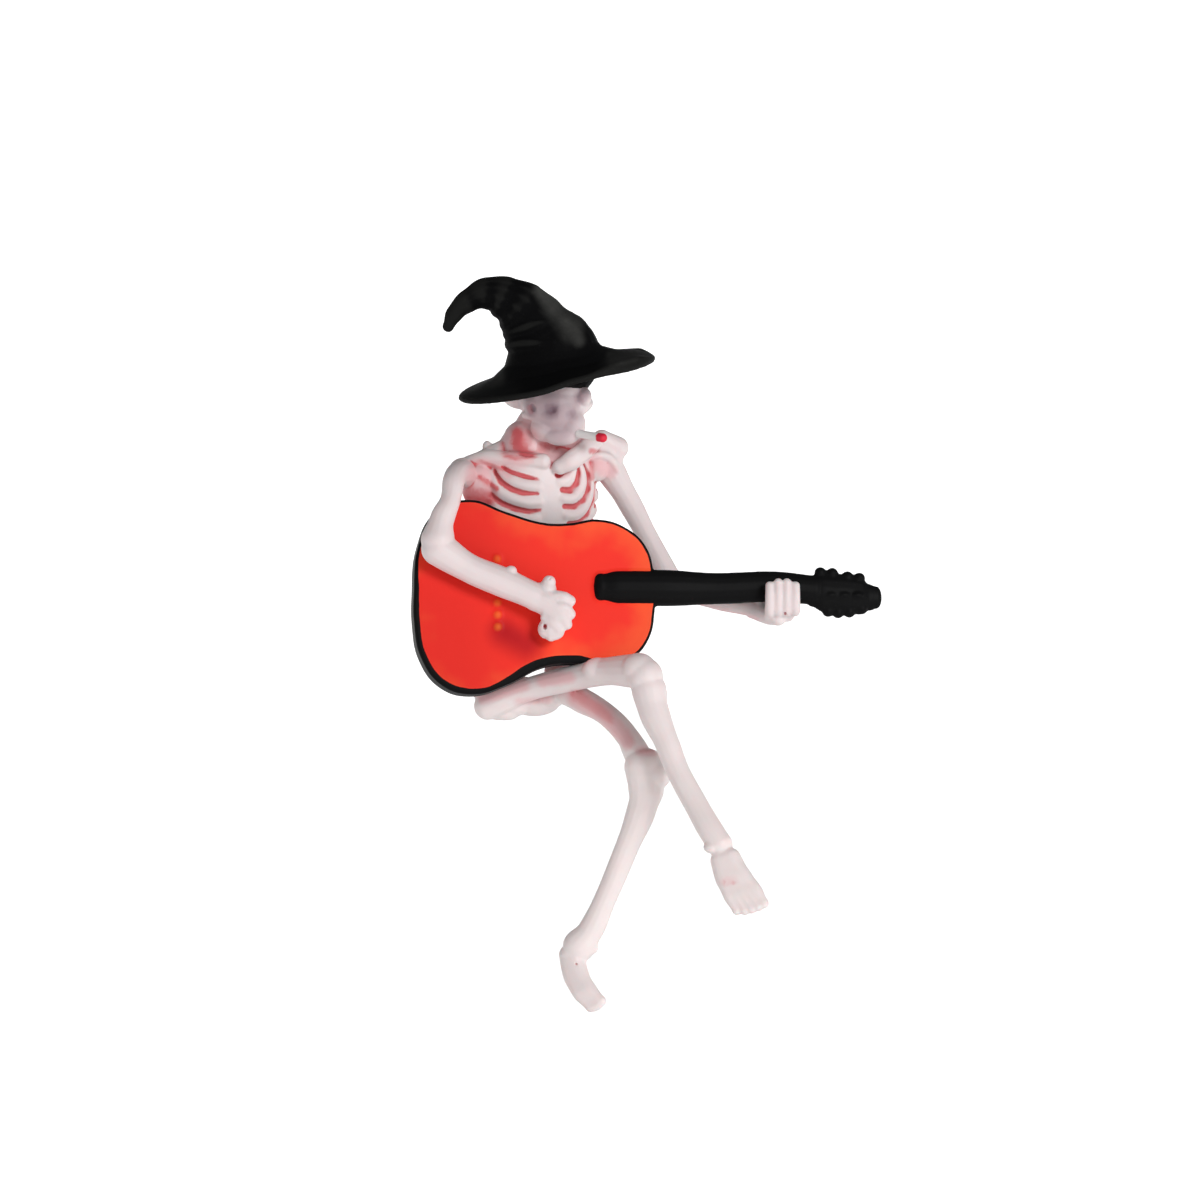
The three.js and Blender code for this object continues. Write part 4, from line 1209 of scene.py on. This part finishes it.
class FIGURINE_OT_stage(bpy.types.Operator):
    """Sets the pale floor, the soft lights and the camera"""
    bl_idname = "figurine.stage"
    bl_label = "Stage"

    def execute(self, context):
        stage = context.scene.figurine_stage
        aim = Vector(stage.aim)
        self.add_floor()
        self.add_camera(context, stage, aim)
        self.add_light("key_light", stage.key_power, aim, offset=(0.51, -0.78, 0.4), size=0.35)
        self.add_light("fill_light", stage.fill_power, aim, offset=(-0.6, -0.5, 0.15), size=0.5)
        world = bpy.data.worlds.new("white_room")
        world.use_nodes = True
        background = world.node_tree.nodes["Background"]
        background.inputs["Color"].default_value = (1, 1, 1, 1)
        background.inputs["Strength"].default_value = stage.sky
        context.scene.world = world
        context.scene.view_settings.view_transform = "Standard"
        return {"FINISHED"}

    def add_floor(self):
        """A pale floor that turns up into a low white wall all round."""
        section = [(0, -300), (2400, -300), (2750, -270), (2930, -150), (3000, 0), (3000, 350)]
        floor = spun(section, Matrix.Identity(4))
        modify(floor, "SUBSURF", levels=2, render_levels=2)
        floor.name = "pale_floor"
        paint = Paint("pale_floor")
        tone = paint.noise(0.3)
        away = paint.node("ShaderNodeVectorMath", {"operation": "LENGTH"}, Vector=paint.place())
        glow = 0.4 + paint.step(Level(paint, away.outputs["Value"]), 0.5, 0.95) * 0.6
        glow = glow * (0.75 + paint.step(paint.along("Y"), -1.2, 0.3) * 0.25)
        paint.surface(Base_Color=paint.mixed(tone, (0.7, 0.7, 0.7, 1), (0.74, 0.74, 0.74, 1)),
                      Roughness=0.9, Emission_Color=paint.mixed(glow, (0, 0, 0, 1), (1, 1, 1, 1)),
                      Emission_Strength=1.0)
        floor.data.materials.append(paint.material)

    def add_camera(self, context, stage, aim):
        away = Vector((0, -math.cos(stage.camera_elevation), math.sin(stage.camera_elevation)))
        bpy.ops.object.camera_add(location=aim + away * stage.camera_distance,
                                  rotation=(math.pi / 2 - stage.camera_elevation, 0, 0))
        camera = bpy.context.object
        camera.name = "camera"
        camera.data.lens = stage.lens
        camera.data.sensor_width = 36
        camera.data.clip_start = 0.01
        context.scene.camera = camera

    def add_light(self, name, power, aim, offset, size):
        """A round soft light at an offset from the place that it shines on."""
        offset = Vector(offset)
        bpy.ops.object.light_add(type="AREA", location=aim + offset)
        light = bpy.context.object
        light.name = name
        light.rotation_euler = offset.to_track_quat("Z", "Y").to_euler()
        light.data.energy = power
        light.data.shape = "DISK"
        light.data.size = size


class FIGURINE_PT_panel(bpy.types.Panel):
    """Lists the sizes, the finishes and the pieces"""
    bl_label = "Figurine"
    bl_idname = "FIGURINE_PT_panel"
    bl_space_type = "VIEW_3D"
    bl_region_type = "UI"
    bl_category = "Figurine"

    def draw(self, context):
        for operator in PIECES:
            self.layout.operator(operator.bl_idname)
        for group_name, group in GROUPS.items():
            box = self.layout.box()
            for name in group.__annotations__:
                box.prop(getattr(context.scene, group_name), name)


PIECES = (FIGURINE_OT_stage, FIGURINE_OT_hat, FIGURINE_OT_guitar, FIGURINE_OT_cigarette, FIGURINE_OT_skeleton)
GROUPS = {
    "figurine_sizes": FigurineSizes,
    "figurine_finishes": FigurineFinishes,
    "figurine_stage": FigurineStage,
}


def register():
    for kind in (*GROUPS.values(), *PIECES, FIGURINE_PT_panel):
        bpy.utils.register_class(kind)
    for name, group in GROUPS.items():
        setattr(bpy.types.Scene, name, bpy.props.PointerProperty(type=group))


def unregister():
    for name in GROUPS:
        delattr(bpy.types.Scene, name)
    for kind in (FIGURINE_PT_panel, *reversed(PIECES), *reversed(GROUPS.values())):
        bpy.utils.unregister_class(kind)


def main():
    register()
    bpy.ops.figurine.stage()
    bpy.ops.figurine.hat()
    bpy.ops.figurine.guitar()
    bpy.ops.figurine.cigarette()
    bpy.ops.figurine.skeleton()


if __name__ == "__main__":
    main()
